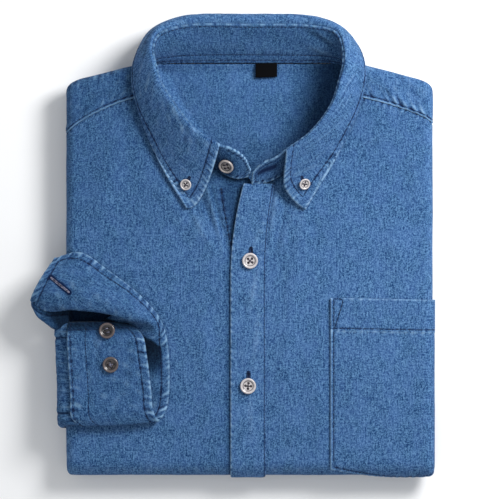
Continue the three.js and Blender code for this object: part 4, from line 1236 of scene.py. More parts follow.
# Sections of the slit's edge along the turned end: at the cuff's seam, at its fold and where it tucks in
SLIT_SECTIONS = [
    [(-156.3, -21.8, 30.2), (-157.4, -28.0, 28.0), (-151.0, -31.5, 25.5)],
    [(-153.6, -24.6, 30.6), (-155.0, -32.5, 28.5), (-147.0, -36.0, 26.0)],
    [(-149.4, -27.6, 31.0), (-150.5, -38.0, 29.0), (-143.0, -39.8, 26.5)],
    [(-144.0, -29.0, 31.2), (-145.0, -42.5, 29.5), (-137.5, -41.8, 26.5)],
    [(-137.0, -28.9, 31.0), (-138.0, -43.5, 30.0), (-131.5, -41.5, 26.5)],
    [(-130.0, -28.2, 30.8), (-130.5, -40.5, 30.0), (-126.0, -40.0, 26.5)],
]


def yoke_inside():
    """The yoke seen through the neck: a shallow dish that rises to the foot of the stand at its sides.

    A row runs from the right side of the foot curve to its left side at the same height.
    """
    y = fine_steps((64.5, NECK_SEAM_Y, 84))[:, None]
    foot = spline(COLLAR_FEET, np.linspace(0, 1, 500))
    right_most, left_most = int(np.argmin(foot[:, 0])), int(np.argmax(foot[:, 0]))
    right_side, left_side = foot[: right_most + 1], foot[left_most:][::-1]
    right = np.interp(y, right_side[30:, 1], right_side[30:, 0], right=right_side[-1, 0]) + 2.6
    left = np.interp(y, left_side[:, 1], left_side[:, 0], right=left_side[-1, 0]) - 2.6
    share = fine_steps((0, 0.15, 16), (0.15, 0.85, 60), (0.85, 1, 16))[None, :]
    x = mix(right, left, share)
    edge = np.minimum(x - right, left - x)
    dish = 0.9 * np.exp(-(((x + 26) / 24) ** 2) - ((y - 112) / 30) ** 2)
    dish = dish + 0.8 * np.exp(-(((x - 38) / 20) ** 2) - ((y - 100) / 26) ** 2)
    rim = 8.5 * (1 - smoothstep(edge, 0, 14)) * (1 - smoothstep(y, 134, 145))
    z = RECESS_FLOOR + 1.6 + dish + rim + 0.18 * unevenness(x, y, 131, 34) + 0.7 * ridges(INSIDE_CREASES, x, y)
    foot[:, 1] = foot[:, 1] + (NECK_SEAM_Y - NECK_BACK_Y) * smoothstep(foot[:, 1], 139, NECK_BACK_Y)
    gaps = np.hypot(x[..., None] - foot[:, 0], y[..., None] - foot[:, 1])
    foot_height = foot[np.argmin(gaps, axis=2), 2]
    reach = gaps.min(axis=2)
    joined = (1 - smoothstep(reach, 0.6, 9)) * smoothstep(y, 96, 124)
    z = np.maximum(z, mix(z, foot_height + 0.5, joined))
    cloth = Cloth(stack(x, y, z), x + 1500, y)
    # Painted highlights and shade along the creases, with puckers by the neck seam.
    cloth.wear_and_painted_light = 0.35 * ripple(x, 132, 5.0) * bell(NECK_SEAM_Y - y, 3.5) + 0.2 * ridges(INSIDE_CREASES, x, y)
    # Tone: painted shade. Darker overall, deepest towards the shirt's left where the collar's wall shades it, and
    # darker towards the front.
    shaded = smoothstep(x - 0.25 * (y - 105), 12, 58)
    cloth.tone = 0.86 * (1 - 0.63 * shaded) * (1 - 0.15 * smoothstep(100 - y, 0, 30))
    return cloth


# Creases of the yoke's inside: centre x, y, heading, length, width, height
INSIDE_CREASES = [
    (-44, 118, 112, 34, 8, 0.8),
    (-30, 128, 95, 40, 7, -0.5),
    (24, 120, 80, 50, 10, 0.6),
    (46, 122, 70, 34, 8, 0.7),
    (2, 96, 150, 40, 9, 0.5),
    (-12, 136, 80, 22, 6, 0.5),
]


def neck_label():
    """The size tape: folded in two, it hangs from the stand's lower edge; a row runs over its fold."""
    profile = np.array([
        (149.8, 13.9), (147, 13.4), (143.4, 12.95), (140.8, 12.8), (139.9, 12.55),
        (140.4, 12.1), (143, 12.05), (147, 12.25), (149.8, 12.9),
    ])
    line = spline(np.column_stack([np.zeros(len(profile)), profile]), np.linspace(0, 1, 61))
    share = np.linspace(0, 1, 25)[None, :]
    x = 4.5 + 15.4 * share + 0 * line[:, 1:2]
    y = line[:, 1:2] + 0.6 * share
    points = stack(x, y, line[:, 2:3] + 0.12 * np.sin(4 * share))
    cloth = Cloth(points, x, arc_lengths(points, 0))
    return cloth


def layer_profile():
    """The hidden layers' edge: for each station an inset and a height at the sides, then at the hem."""
    lining = CLOTH_WALL + 0.75
    side_turns = np.radians([0, 25, 50, 75, 90, 110, 130, 150])
    hem_turns = np.radians([0, 20, 40, 60, 80, 95, 108, 120])
    upper = np.stack([
        SIDE_ROUND - (SIDE_ROUND - lining) * np.sin(side_turns),
        FRONT_TOP - SIDE_ROUND + (SIDE_ROUND - lining) * np.cos(side_turns),
        HEM_ROUND - (HEM_ROUND - lining) * np.sin(hem_turns),
        FRONT_TOP - HEM_ROUND + (HEM_ROUND - lining) * np.cos(hem_turns),
    ], axis=-1)
    lower = np.array(LAYER_EDGES, float)
    return spline(np.concatenate([upper, lower]), np.linspace(0, 1, 100))


# Side inset and height, hem inset and height: the grooves and the two lower layers
LAYER_EDGES = [
    (10.5, 12, 5.5, 6.8),
    (10.5, 9.9, 5.5, 6.4),
    (4.5, 9.5, 4, 6.2),
    (2.3, 8.6, 3.1, 6),
    (1.5, 7.2, 2.7, 5.6),
    (2.2, 5.7, 3, 5.2),
    (4, 5.1, 4.4, 5),
    (7, 4.9, 7, 4.85),
    (7, 4.6, 7, 4.6),
    (4, 4.4, 4, 4.4),
    (2.2, 3.4, 2.2, 3.4),
    (1.8, 2.2, 1.8, 2.2),
    (2.4, 0.9, 2.4, 0.9),
    (4, 0, 4, 0),
]


def layer_outline(count):
    """Lengths round a rounded rectangle at which its sides and corners end, with its corner radius and the count it is
    given.
    """
    corner = 5.0
    straight_y = (SHOULDER_Y - HEM_Y) / 2 - corner
    straight_x = HALF_WIDTH - corner
    quarter = corner * np.pi / 2
    stops = np.cumsum([0, 2 * straight_y, quarter, 2 * straight_x, quarter, 2 * straight_y, quarter, 2 * straight_x, quarter])
    return stops, corner, count


def folded_layers():
    """The hidden layers: rings of a rounded rectangle, each inset and lowered by the edge profile.

    The rings start on top under the fronts, pass the layered edge and close over the flat underside.
    """
    profile = layer_profile()
    corner, corner_steps, side_steps = 5.0, 12, 70
    side_inset, side_z, hem_inset, hem_z = (profile[:, column, None] for column in range(4))
    half_x = HALF_WIDTH - side_inset
    columns_x, columns_y, shares = [], [], []
    corners = [(1, -1, -90), (1, 1, 0), (-1, 1, 90), (-1, -1, 180)]
    anchors = []
    for sign_x, sign_y, _ in corners:
        anchor_y = SHOULDER_Y - side_inset - corner if sign_y > 0 else HEM_Y + hem_inset + corner
        anchors.append((sign_x * (half_x - corner), anchor_y))
    for place, (_, sign_y, start) in enumerate(corners):
        turn = np.radians(start + np.linspace(0, 90, corner_steps + 1))[None, :]
        hem_share = np.maximum(0, -np.sin(turn)) if sign_y < 0 else 0 * turn
        columns_x.append(anchors[place][0] + corner * np.cos(turn))
        columns_y.append(anchors[place][1] + corner * np.sin(turn))
        shares.append(hem_share)
        after = corners[(place + 1) % 4]
        next_turn = math.radians(after[2])
        to_x = anchors[(place + 1) % 4][0] + corner * math.cos(next_turn)
        to_y = anchors[(place + 1) % 4][1] + corner * math.sin(next_turn)
        run = np.linspace(0, 1, side_steps + 1)[None, 1:-1]
        columns_x.append(mix(columns_x[-1][:, -1:], to_x, run))
        columns_y.append(mix(columns_y[-1][:, -1:], to_y, run))
        shares.append(mix(hem_share[:, -1:], 1.0 if place == 3 else 0.0, run) if place in (1, 3) else hem_share[:, -1:] + 0 * run)
    x, y = np.concatenate(columns_x, axis=1), np.concatenate(columns_y, axis=1)
    hem_share = np.concatenate(shares, axis=1)
    z = mix(side_z, hem_z, hem_share)
    lengths = arc_lengths(stack(x, y, 0 * z), 1)
    low = smoothstep(z, 0.2, 1.6) * (1 - smoothstep(z, 10.5, 14))
    wobble = 0.5 * unevenness(lengths, 3 * z, 141, 40) + 0.35 * unevenness(lengths, 6 * z, 142, 15)
    centre = stack(-x, -y + 0 * z, 0 * z)
    inward = unit(centre)
    x = x + inward[..., 0] * (0.35 + 0.35 * wobble) * low
    y = y + inward[..., 1] * (0.35 + 0.35 * wobble) * low
    sides = stack(x, y + shoulder_shift(x) * smoothstep(y, 60, 140), z)
    shrink = np.linspace(1, 0, 26)[1:-1, None, None]
    underside = sides[-1][None] * shrink
    underside[..., 2] = under_height(underside[..., 0], underside[..., 1])
    top = sides[0][None] * np.linspace(0, 1, 26)[1:-1, None, None]
    top[..., 2] = sides[0][None, :, 2]
    points = np.concatenate([top, sides, underside])
    points[..., 2] = neck_sink(points[..., 0], points[..., 1], points[..., 2])
    return points, len(top), len(sides)


def under_height(x, y):
    """The underside: flat, with soft shallow folds that leave most of it on the surface."""
    folds = ridges(UNDER_FOLDS, x, y)
    inside = smoothstep(HALF_WIDTH - np.abs(x), 6, 22) * smoothstep(140 - np.abs(y), 0, 18)
    return np.maximum(folds, 0) * inside


# Folds of the underside: centre x, y, heading, length, width, height
UNDER_FOLDS = [
    (-62, 10, 92, 190, 12, 1.1),
    (58, -6, 88, 200, 12, 1.1),
    (-20, -70, 64, 90, 14, 0.9),
    (24, 60, 118, 90, 16, 0.9),
    (-94, 70, 60, 70, 12, 0.8),
    (96, -86, 110, 70, 12, 0.8),
    (0, 110, 4, 120, 9, 0.9),
]


def neck_sink(x, y, z):
    """Lowers whatever lies inside the neck's outline to the floor of the recess, with a soft edge."""
    foot = spline(COLLAR_FEET, np.linspace(0, 1, 400))
    right_side = foot[40: int(np.argmin(foot[:, 0])) + 1]
    left_side = foot[int(np.argmax(foot[:, 0])):][::-1]
    right = np.interp(y, right_side[:, 1], right_side[:, 0], right=-71.5)
    left = np.interp(y, left_side[:, 1], left_side[:, 0], right=72.0)
    depth = np.minimum(x - right + 1.5, left + 1.5 - x)
    share = smoothstep(depth, -0.6, 1.4) * smoothstep(y, 62, 66)
    sunk = np.where(z < 6, z, 6 + (z - 6) * 0.145)
    return mix(z, sunk, share)


def button_grid(diameter, back, tilt, spin, darker):
    """A sewn-through button: a disc on rings and spokes, its height a raised rim, a hollow and four holes."""
    radius = diameter / 2
    rim = np.array([
        (0.001, 0.2), (0.12, 0.2), (0.5, 0.205), (0.62, 0.22), (0.70, 0.27), (0.78, 0.335), (0.86, 0.365),
        (0.93, 0.345), (0.985, 0.28), (1.0, 0.21), (0.99, 0.12), (0.93, 0.03), (0.82, 0.0), (0.4, 0.0), (0.001, 0.0),
    ])
    inner = np.column_stack([np.linspace(0.02, 0.56, 24), np.full(24, 0.2)])
    outer = spline(rim[3:14], np.linspace(0, 1, 34))
    profile = np.concatenate([inner, outer])
    turns = np.linspace(0, 2 * np.pi, 73)[:-1]
    out = profile[:, 0, None] * radius
    x, y = out * np.cos(turns), out * np.sin(turns)
    z = profile[:, 1, None] * radius + 0 * x
    faces_up = (np.arange(len(profile)) < 30)[:, None]
    holes = np.zeros_like(x)
    for sign_x in (1, -1):
        for sign_y in (1, -1):
            gap = np.hypot(x - sign_x * 0.25 * radius, y - sign_y * 0.25 * radius)
            holes = np.maximum(holes, 1 - smoothstep(gap, 0.11 * radius, 0.18 * radius))
    z = z - holes * 0.17 * radius * faces_up
    crest = bell(profile[:, 0, None] - 0.86, 0.11) * faces_up + 0 * x
    hollow = bell(profile[:, 0, None] - 0.64, 0.07) * faces_up
    middle = 1 - smoothstep(profile[:, 0, None], 0.5, 0.74)
    # Painted light: a highlight on the rim's crest and shade in the hollow and holes. The darker middle is partly the
    # button's own colour and partly painted shade.
    wear_and_painted_light = 0.4 + 0.45 * crest - 0.6 * hollow - 1.6 * holes - darker * middle * faces_up
    points = place_turned(stack(x, y, z), back, tilt, spin)
    return points, wear_and_painted_light, radius


def place_turned(points, back, tilt, spin):
    """Turns points by spin about Z, then by the tilts about Y and X, and moves them to their place."""
    about_x, about_y, about_z = (math.radians(angle) for angle in (*tilt, spin))
    cos, sin = math.cos, math.sin
    turn_x = np.array([[1, 0, 0], [0, cos(about_x), -sin(about_x)], [0, sin(about_x), cos(about_x)]])
    turn_y = np.array([[cos(about_y), 0, sin(about_y)], [0, 1, 0], [-sin(about_y), 0, cos(about_y)]])
    turn_z = np.array([[cos(about_z), -sin(about_z), 0], [sin(about_z), cos(about_z), 0], [0, 0, 1]])
    return points @ (turn_x @ turn_y @ turn_z).T + np.array(back, float)


# Button name, diameter, centre of its back, tilts and spin, finish, whether its thread is crossed,
# and how much darker its middle is: partly its own colour, partly painted shade, most on the first cuff button in the
# turned end's shadow
BUTTONS = [
    ("button_neck", 11, (-16.6, 75.1, 31.3), (38.7, -15.8), 20, "shell_button", False, 0.1),
    ("button_collar_right", 8.2, (-45.6, 61.8, 28.9), (15.8, -13.1), 10, "pearl_button", True, 0.0),
    ("button_collar_left", 8.2, (39.4, 62.2, 30.4), (23.1, 19), 30, "pearl_button", True, 0.0),
    ("button_front_1", 11.4, (0.4, 7, 26.3), (0, 0), 5, "pearl_button", True, 0.0),
    ("button_front_2", 11.4, (-1, -83, 26.3), (0, 0), 40, "pearl_button", True, 0.0),
    ("button_cuff_1", 11.4, (-101.9, -43, 34.1), (-7.4, 0), 20, "smoke_button", False, 0.6),
    ("button_cuff_2", 11.4, (-99.2, -67.2, 35.5), (-1.6, 0), 60, "smoke_button", True, 0.35),
]


def straight_thread(start, end, radius, bow):
    """A thread between two points: a tube whose middle line bows up as half a sine."""
    share = np.linspace(0, 1, 9)
    start, end = np.array(start, float), np.array(end, float)
    middle = mix(start, end, share[:, None])
    middle[:, 2] += bow * np.sin(np.pi * share)
    ahead = unit(end - start)
    side = np.cross(ahead, [0, 0, 1.0])
    turns = np.arange(8) * np.pi / 4
    size = radius * np.where((share == 0) | (share == 1), 0.3, 1.0)
    ring = np.cos(turns)[:, None] * np.array([0, 0, 1.0]) + np.sin(turns)[:, None] * side
    points = middle[:, None] + ring[None] * size[:, None, None]
    return points


def tube_faces(rows, columns, start=0):
    """Faces of a tube of rings with fans of cells over both ends."""
    walls = grid_faces(rows, columns, ring=True)
    half = columns // 2
    first = []
    for step in range(half - 1):
        first.append((step, columns - 1 - step, columns - 2 - step, step + 1))
    first = np.array(first)
    last = first[:, ::-1] + (rows - 1) * columns
    return np.concatenate([walls, first, last]) + start


def laid_on(cloth, lift, place):
    """Points over a cloth at places in plan, and its normals there, averaged by nearness over its points."""
    surface = (cloth.points + cloth.normals * np.asarray(lift)[..., None]).reshape(-1, 3)
    normals = cloth.normals.reshape(-1, 3)
    low, high = place.min(axis=0) - 4, place.max(axis=0) + 4
    near = np.all((surface[:, :2] > low) & (surface[:, :2] < high), axis=1) & (normals[:, 2] > 0.2)
    surface, normals = surface[near], normals[near]
    gaps = ((place[:, None] - surface[None, :, :2]) ** 2).sum(axis=2)
    weights = 1 / (gaps + 0.05) ** 2
    weights = weights / weights.sum(axis=1, keepdims=True)
    level = (weights * surface[:, 2]).sum(axis=1)
    return np.concatenate([place, level[:, None]], axis=1), unit(weights @ normals)


def buttonhole_shape(cloth, lift, hole):
    """An embroidered buttonhole: a thread ring over a long superellipse, laid on the nearest points of the cloth."""
    middle_x, middle_y, heading, half_length, half_width, radius = hole
    wraps = int(8 * half_length)
    turn = np.linspace(0, 2 * np.pi, 6 * wraps + 1)[:-1]
    ahead = np.array([math.cos(math.radians(heading)), math.sin(math.radians(heading))])
    side = np.array([-ahead[1], ahead[0]])
    out_ahead = np.sign(np.cos(turn)) * np.abs(np.cos(turn)) ** 0.45 * half_length
    out_side = np.sign(np.sin(turn)) * np.abs(np.sin(turn)) ** 0.45 * half_width
    place = np.array([middle_x, middle_y]) + out_ahead[:, None] * ahead + out_side[:, None] * side
    centre, up = laid_on(cloth, lift, place)
    radial = unit(stack(*(out_ahead[:, None] / half_length**2 * ahead + out_side[:, None] / half_width**2 * side).T, 0))
    size = radius * (1 + 0.14 * np.cos(turn * wraps))
    around = np.arange(8) * np.pi / 4
    ring = np.cos(around)[None, :, None] * up[:, None] + np.sin(around)[None, :, None] * radial[:, None]
    points = centre[:, None] + ring * size[:, None, None]
    faces = grid_faces(len(turn) + 1, 8, ring=True) % (len(turn) * 8)
    return points.reshape(-1, 3), faces


def add_buttonholes(name, cloth, lift, holes, material):
    """One object of the buttonholes of a piece."""
    points, faces, count = [], [], 0
    for hole in holes:
        ring, cells = buttonhole_shape(cloth, lift, hole)
        points.append(ring)
        faces.append(cells + count)
        count += len(ring)
    write_mesh(name, np.concatenate(points), faces, material)


# Buttonholes: middle x and y, heading, half length, half width and thread radius
PLACKET_HOLES = [(1.0, 9.6, 88, 7.0, 0.75, 0.7), (-0.6, -79.6, 91, 7.0, 0.75, 0.7)]
LEAF_HOLES = [(-44.2, 64.4, 62, 3.4, 0.6, 0.5), (38.3, 64.8, 108, 3.0, 0.6, 0.5)]
CUFF_HOLES = [(-135.2, -10.2, -37.7, 8.6, 0.45, 0.32)]


# Operators


class ShirtSizes(bpy.types.PropertyGroup):
    """Sizes of the sewing."""

    stitch_length: FloatProperty(
        name="Stitch Length", description="Length of the thread seen in one stitch", default=0.0026, unit="LENGTH")
    stitch_gap: FloatProperty(
        name="Stitch Gap", description="Cloth between two stitches", default=0.0003, unit="LENGTH")
    thread_width: FloatProperty(
        name="Thread Width", description="Diameter of the sewing thread", default=0.00046, unit="LENGTH")
    camera_height: FloatProperty(
        name="Camera Height", description="Height of the camera above the floor", default=1.5, unit="LENGTH")
    view_width: FloatProperty(
        name="View Width", description="Width seen at the height of the front", default=0.35928, unit="LENGTH")
    view_middle: FloatProperty(
        name="View Middle", description="How far the view's middle lies towards the collar", default=0.01512,
        unit="LENGTH")
    key_energy: FloatProperty(name="Key Light", description="Power of the main light", default=9.4, unit="POWER")
    room_strength: FloatProperty(name="Room Light", description="Strength of the light all round", default=0.50)


def colour_property(name, description, default):
    """A colour that a user can change."""
    return FloatVectorProperty(
        name=name, description=description, default=default, subtype="COLOR", size=3, min=0.0, max=1.0)


class ShirtColours(bpy.types.PropertyGroup):
    """Colours of the cloth, thread, buttons and floor."""

    indigo_dark: colour_property("Dark Indigo", "Darkest threads", (0.002, 0.023, 0.098))
    indigo: colour_property("Indigo", "Middle of the cloth's colour", (0.032, 0.106, 0.250))
    indigo_light: colour_property("Light Indigo", "Lightest threads", (0.119, 0.249, 0.442))
    # The worn and sunk colours also show painted highlights on crease ridges and painted shade in troughs and grooves.
    worn: colour_property("Worn Edge", "Cloth on raised edges", (0.215, 0.360, 0.540))
    drift: colour_property("Drift", "Violet cast of some washed places", (0.038, 0.090, 0.236))
    sunk: colour_property("Sunk Cloth", "Cloth in puckers and beside seams", (0.004, 0.014, 0.056))
    thread: colour_property("Thread", "Sewing thread", (0.008, 0.018, 0.056))
    pale_thread: colour_property("Pale Thread", "Buttonhole of the cuff", (0.14, 0.14, 0.19))
    button_thread: colour_property("Button Thread", "Thread in the buttons", (0.045, 0.040, 0.060))
    pearl: colour_property("Pearl", "Light part of the front buttons", (0.62, 0.58, 0.58))
    pearl_dark: colour_property("Pearl Shade", "Dark part of the front buttons", (0.10, 0.085, 0.09))
    shell: colour_property("Shell", "Rim of the neck button", (0.42, 0.37, 0.35))
    smoke: colour_property("Smoke", "Light part of the cuff buttons", (0.105, 0.080, 0.077))
    smoke_dark: colour_property("Smoke Shade", "Dark part of the cuff buttons", (0.010, 0.008, 0.010))
    tape: colour_property("Tape", "Neck label", (0.0015, 0.0015, 0.002))
    floor: colour_property("Floor", "Paper under the shirt", (0.90, 0.90, 0.90))


class SHIRT_OT_studio(bpy.types.Operator):
    """Make the floor, the camera above it and the soft light"""

    bl_idname = "shirt.studio"
    bl_label = "Studio"

    def execute(self, context):
        sizes = context.scene.folded_shirt
        context.scene.view_settings.view_transform = "Standard"
        corner = 4.0
        mesh = bpy.data.meshes.new("floor")
        mesh.from_pydata(
            [(-corner, -corner, 0), (corner, -corner, 0), (corner, corner, 0), (-corner, corner, 0)],
            [], [(0, 1, 2, 3)])
        mesh.materials.append(finish_named("pale_floor"))
        floor = bpy.data.objects.new("floor", mesh)
        context.scene.collection.objects.link(floor)

        lens = bpy.data.cameras.new("camera")
        reach = sizes.camera_height - FRONT_TOP * MM
        lens.sensor_fit = "HORIZONTAL"
        lens.angle = 2 * math.atan(sizes.view_width / 2 / reach)
        camera = bpy.data.objects.new("camera", lens)
        camera.location = (0.0, sizes.view_middle, sizes.camera_height)
        context.scene.collection.objects.link(camera)
        context.scene.camera = camera

        aims = [
            ("key_light", (0.50, 0.44, 0.58), 0.34, sizes.key_energy),
            ("fill_light", (-0.5, -0.9, 1.3), 1.2, sizes.key_energy * 0.3),
        ]
        for name, place, size, energy in aims:
            light = bpy.data.lights.new(name, "AREA")
            light.size = size
            light.energy = energy
            lamp = bpy.data.objects.new(name, light)
            lamp.location = place
            lamp.rotation_euler = Vector(place).to_track_quat("Z", "Y").to_euler()
            context.scene.collection.objects.link(lamp)

        world = bpy.data.worlds.new("room")
        context.scene.world = world
        world.use_nodes = True
        sky = world.node_tree.nodes["Background"]
        sky.inputs["Color"].default_value = (0.93, 0.96, 1.0, 1.0)
        sky.inputs["Strength"].default_value = sizes.room_strength
        return {"FINISHED"}


class SHIRT_OT_layers(bpy.types.Operator):
    """Make the hidden layers under the fronts"""

    bl_idname = "shirt.layers"
    bl_label = "Hidden Layers"

    def execute(self, context):
        points, top_rows, side_rows = folded_layers()
        rows, columns = points.shape[:2]
        flat = points.reshape(-1, 3)
        count = len(flat)
        crown = flat[:columns].mean(axis=0)
        base = np.array([0.0, 0.0, 0.0])
        all_points = np.concatenate([flat, [crown, base]])
        walls = grid_faces(rows, columns, ring=True)
        ahead = np.roll(np.arange(columns), -1)
        first = np.stack([ahead, np.arange(columns), np.full(columns, count)], axis=-1)
        last_row = (rows - 1) * columns
        last = np.stack([last_row + np.arange(columns), last_row + ahead, np.full(columns, count + 1)], axis=-1)
        run = arc_lengths(points, 1)
        drop = arc_lengths(points, 0)
        u = np.where(np.abs(points[..., 1]) > 200, run, points[..., 0])
        side = np.zeros((rows, columns), bool)
        side[top_rows: top_rows + side_rows] = True
        u = np.where(side, run, points[..., 0])
        v = np.where(side, drop + 0 * run, points[..., 1])
        uv = np.concatenate([stack(u, v).reshape(-1, 2), [[0, 0], [0, 0]]])
        wear_and_painted_light = 0.3 * unevenness(run, drop, 151, 9) * side
        wear_and_painted_light = np.concatenate([wear_and_painted_light.ravel(), [0, 0]])
        obj = write_mesh(
            "layers_cloth", all_points, [walls, first, last], finish_named("denim_inside_cloth"),
            uv, wear_and_painted_light, np.ones(count + 2))
        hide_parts("folded_layers")
        return {"FINISHED"}


class SHIRT_OT_fronts(bpy.types.Operator):
    """Make both fronts, the placket and the yoke beside the neck"""

    bl_idname = "shirt.fronts"
    bl_label = "Fronts and Yoke"

    def execute(self, context):
        denim = finish_named("denim_cloth")
        lines = []
        fronts = {}
        for side, label in ((-1, "right"), (1, "left")):
            front = fronts[side] = front_panel(side)
            obj = sew_shell(f"front_{label}_cloth", front, -CLOTH_WALL, 0.0, denim)
            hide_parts(f"front_{label}")
            declare_sheet(front)
            strip = yoke_strip(side)
            obj = sew_shell(f"yoke_{label}_cloth", strip, -CLOTH_WALL, 0.0, denim)
            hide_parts(f"yoke_{label}")
            declare_sheet(strip)
            rows = strip.wear_and_painted_light.shape[0]
            for level in (1.8,):
                over = arc_lengths(strip.points, 0)
                place = np.array([np.interp(level, over[:, column], np.arange(rows)) for column in range(over.shape[1])])
                lines.append(grid_line(strip, place, np.arange(over.shape[1])))
        band = placket_band()
        obj = sew_shell("placket_cloth", band, -PLACKET_WALL, 0.0, denim)
        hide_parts("front_placket")
        declare_sheet(band)
        over = arc_lengths(band.points, 1)
        rows = np.arange(over.shape[0])
        from_right = over[:, -1:] - over
        lines.append(grid_line(band, rows, falling_columns(from_right, 0.6)))
        add_buttonholes("placket_buttonholes", band, 0.0, PLACKET_HOLES, finish_named("navy_thread"))
        line = spline(np.array([(*point, 0.0) for point in UNDER_PLACKET]), np.linspace(0, 1, 60))
        lines.append(laid_on(fronts[-1], 0.4, line[:, :2]))
        add_stitches("front_stitches", lines, finish_named("navy_thread"))
        return {"FINISHED"}


class SHIRT_OT_pocket(bpy.types.Operator):
    """Make the breast pocket and its stitching"""

    bl_idname = "shirt.pocket"
    bl_label = "Pocket"

    def execute(self, context):
        pocket = pocket_cloth()
        obj = sew_shell("pocket_cloth", pocket, -CLOTH_WALL, 0.0, finish_named("denim_cloth"))
        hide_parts("chest_pocket")
        declare_sheet(pocket)
        rows, columns = pocket.wear_and_painted_light.shape
        over, up = arc_lengths(pocket.points, 1), arc_lengths(pocket.points, 0)
        down = up[-1:] - up
        side_columns = field_columns(over, 2.0)
        every_column = np.arange(columns)
        foot_rows = np.array([np.interp(2.0, up[:, column], np.arange(rows)) for column in every_column])
        hem_rows = np.array([
            rows - 1 - np.interp(POCKET_HEM - 1.2, down[::-1, column], np.arange(rows)) for column in every_column])
        top_part = np.arange(8, rows)
        start = int(side_columns[10]) + 1
        lines = [
            grid_line(pocket, top_part, side_columns[8:]),
            grid_line(pocket, foot_rows[start:], every_column[start:]),
            grid_line(pocket, hem_rows[start:], every_column[start:]),
        ]
        tack = spline(np.array([(*point, 0.0) for point in POCKET_TACK]), np.linspace(0, 1, 50))
        lines.append(laid_on(pocket, 0.3, tack[:, :2]))
        add_stitches("pocket_stitches", lines, finish_named("navy_thread"))
        return {"FINISHED"}


class SHIRT_OT_collar(bpy.types.Operator):
    """Make the stand, the leaf, the yoke's inside and the neck label"""

    bl_idname = "shirt.collar"
    bl_label = "Collar"

    def execute(self, context):
        denim = finish_named("denim_cloth")
        stand, up, down, run = collar_stand()
        high = 2.0 - 0.35 * bell(up - 1.8, 0.7) - 0.3 * bell(up - 6.4, 0.7) - 0.3 * bell(down - 1.6, 0.7)
        obj = sew_shell("stand_cloth", stand, 0.0, high, denim)
        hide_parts("collar_stand")
        declare_sheet(stand)
        rows = np.arange(up.shape[0])
        steps = up.shape[1]
        middle = (rows > 95) & (rows < 265)
        upper = falling_columns(down, 1.6)
        lines = [
            grid_line(stand, rows[middle], field_columns(up, 1.8)[middle], high),
            grid_line(stand, rows[middle], field_columns(up, 6.4)[middle], high),
            grid_line(stand, rows, upper, high),
        ]

        leaf, thick, from_edge, from_end, run = collar_leaf()
        obj = sew_shell("leaf_cloth", leaf, -thick / 2, thick / 2, denim)
        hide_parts("collar_leaf")
        declare_sheet(leaf)
        steps = from_edge.shape[1]
        rows = np.arange(from_edge.shape[0])
        edge = falling_columns(from_edge, LEAF_MARGIN)
        first = np.array([np.interp(LEAF_MARGIN, run[:, step], rows) for step in range(steps)])
        back_run = run[-1:] - run
        last = rows[-1] - np.array([np.interp(LEAF_MARGIN, back_run[::-1, step], rows) for step in range(steps)])
        turn_first = int(np.interp(LEAF_MARGIN, run[:, int(edge[5])], rows)) + 1
        turn_last = int(last[int(edge[-5])])
        low = 10
        stop = int(edge[turn_first]) + 1
        lines.append(grid_line(leaf, first[low:stop], np.arange(low, stop), thick / 2))
        lines.append(grid_line(leaf, rows[turn_first:turn_last], edge[turn_first:turn_last], thick / 2))
        stop = int(edge[turn_last]) + 1
        lines.append(grid_line(leaf, last[low:stop], np.arange(low, stop), thick / 2))
        add_stitches("collar_stitches", lines, finish_named("navy_thread"))
        add_buttonholes("leaf_buttonholes", leaf, thick / 2, LEAF_HOLES, finish_named("navy_thread"))

        inside = yoke_inside()
        obj = sew_shell("yoke_inside_cloth", inside, -CLOTH_WALL, 0.0, finish_named("denim_inside_cloth"))
        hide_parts("yoke_inside")
        declare_sheet(inside)
        label = neck_label()
        obj = sew_shell("label_tape", label, -0.18, 0.18, finish_named("black_tape"))
        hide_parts("neck_label")
        declare_sheet(label)
        return {"FINISHED"}


class SHIRT_OT_cuff(bpy.types.Operator):
    """Make the turned cuff, the sleeve that enters it and the slit's edge"""

    bl_idname = "shirt.cuff"
    bl_label = "Cuff and Sleeve"

    def execute(self, context):
        denim = finish_named("denim_cloth")
        cuff, thick, from_wrist, from_seam, run = cuff_band()
        obj = sew_shell("cuff_cloth", cuff, -thick / 2, thick / 2, denim)
        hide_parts("cuff")
        declare_sheet(cuff)
        rows = np.arange(run.shape[0])
        steps = run.shape[1]
        wrist = field_columns(from_wrist, CUFF_MARGIN)
        seam = falling_columns(from_seam, 1.6)
        second = falling_columns(from_seam, 12.5)
        first = np.array([np.interp(CUFF_MARGIN, run[:, step], rows) for step in range(steps)])
        back_run = run[-1:] - run
        last = rows[-1] - np.array([np.interp(CUFF_MARGIN, back_run[::-1, step], rows) for step in range(steps)])
        turn_first, turn_last = int(first[8]) + 1, int(last[8])
        low = int(wrist[turn_first])
        lines = []
        for sign in (1, -1):
            face = sign * thick / 2
            sewn = rows > 0.55 * len(rows)
            group = [
                (rows[turn_first:turn_last], wrist[turn_first:turn_last]),
                (first[low:], np.arange(low, steps)),
                (last[low:], np.arange(low, steps)),
                (rows[sewn], seam[sewn]),
                (rows[sewn], second[sewn]),
            ]
            for line_rows, line_columns in group:
                points, normals = grid_line(cuff, line_rows, line_columns, face)
                lines.append((points, normals * sign))
        add_stitches("cuff_stitches", lines, finish_named("navy_thread"))
        add_buttonholes("cuff_buttonhole", cuff, thick / 2, CUFF_HOLES, finish_named("pale_thread"))

        sleeve = sleeve_tube()
        obj = sew_shell("sleeve_cloth", sleeve, -CLOTH_WALL, 0.0, denim)
        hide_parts("sleeve")
        declare_sheet(sleeve)
        slit = sleeve_slit()
        obj = sew_shell("slit_cloth", slit, -0.5, 0.5, denim)
        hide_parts("sleeve_slit")
        declare_sheet(slit)
        return {"FINISHED"}


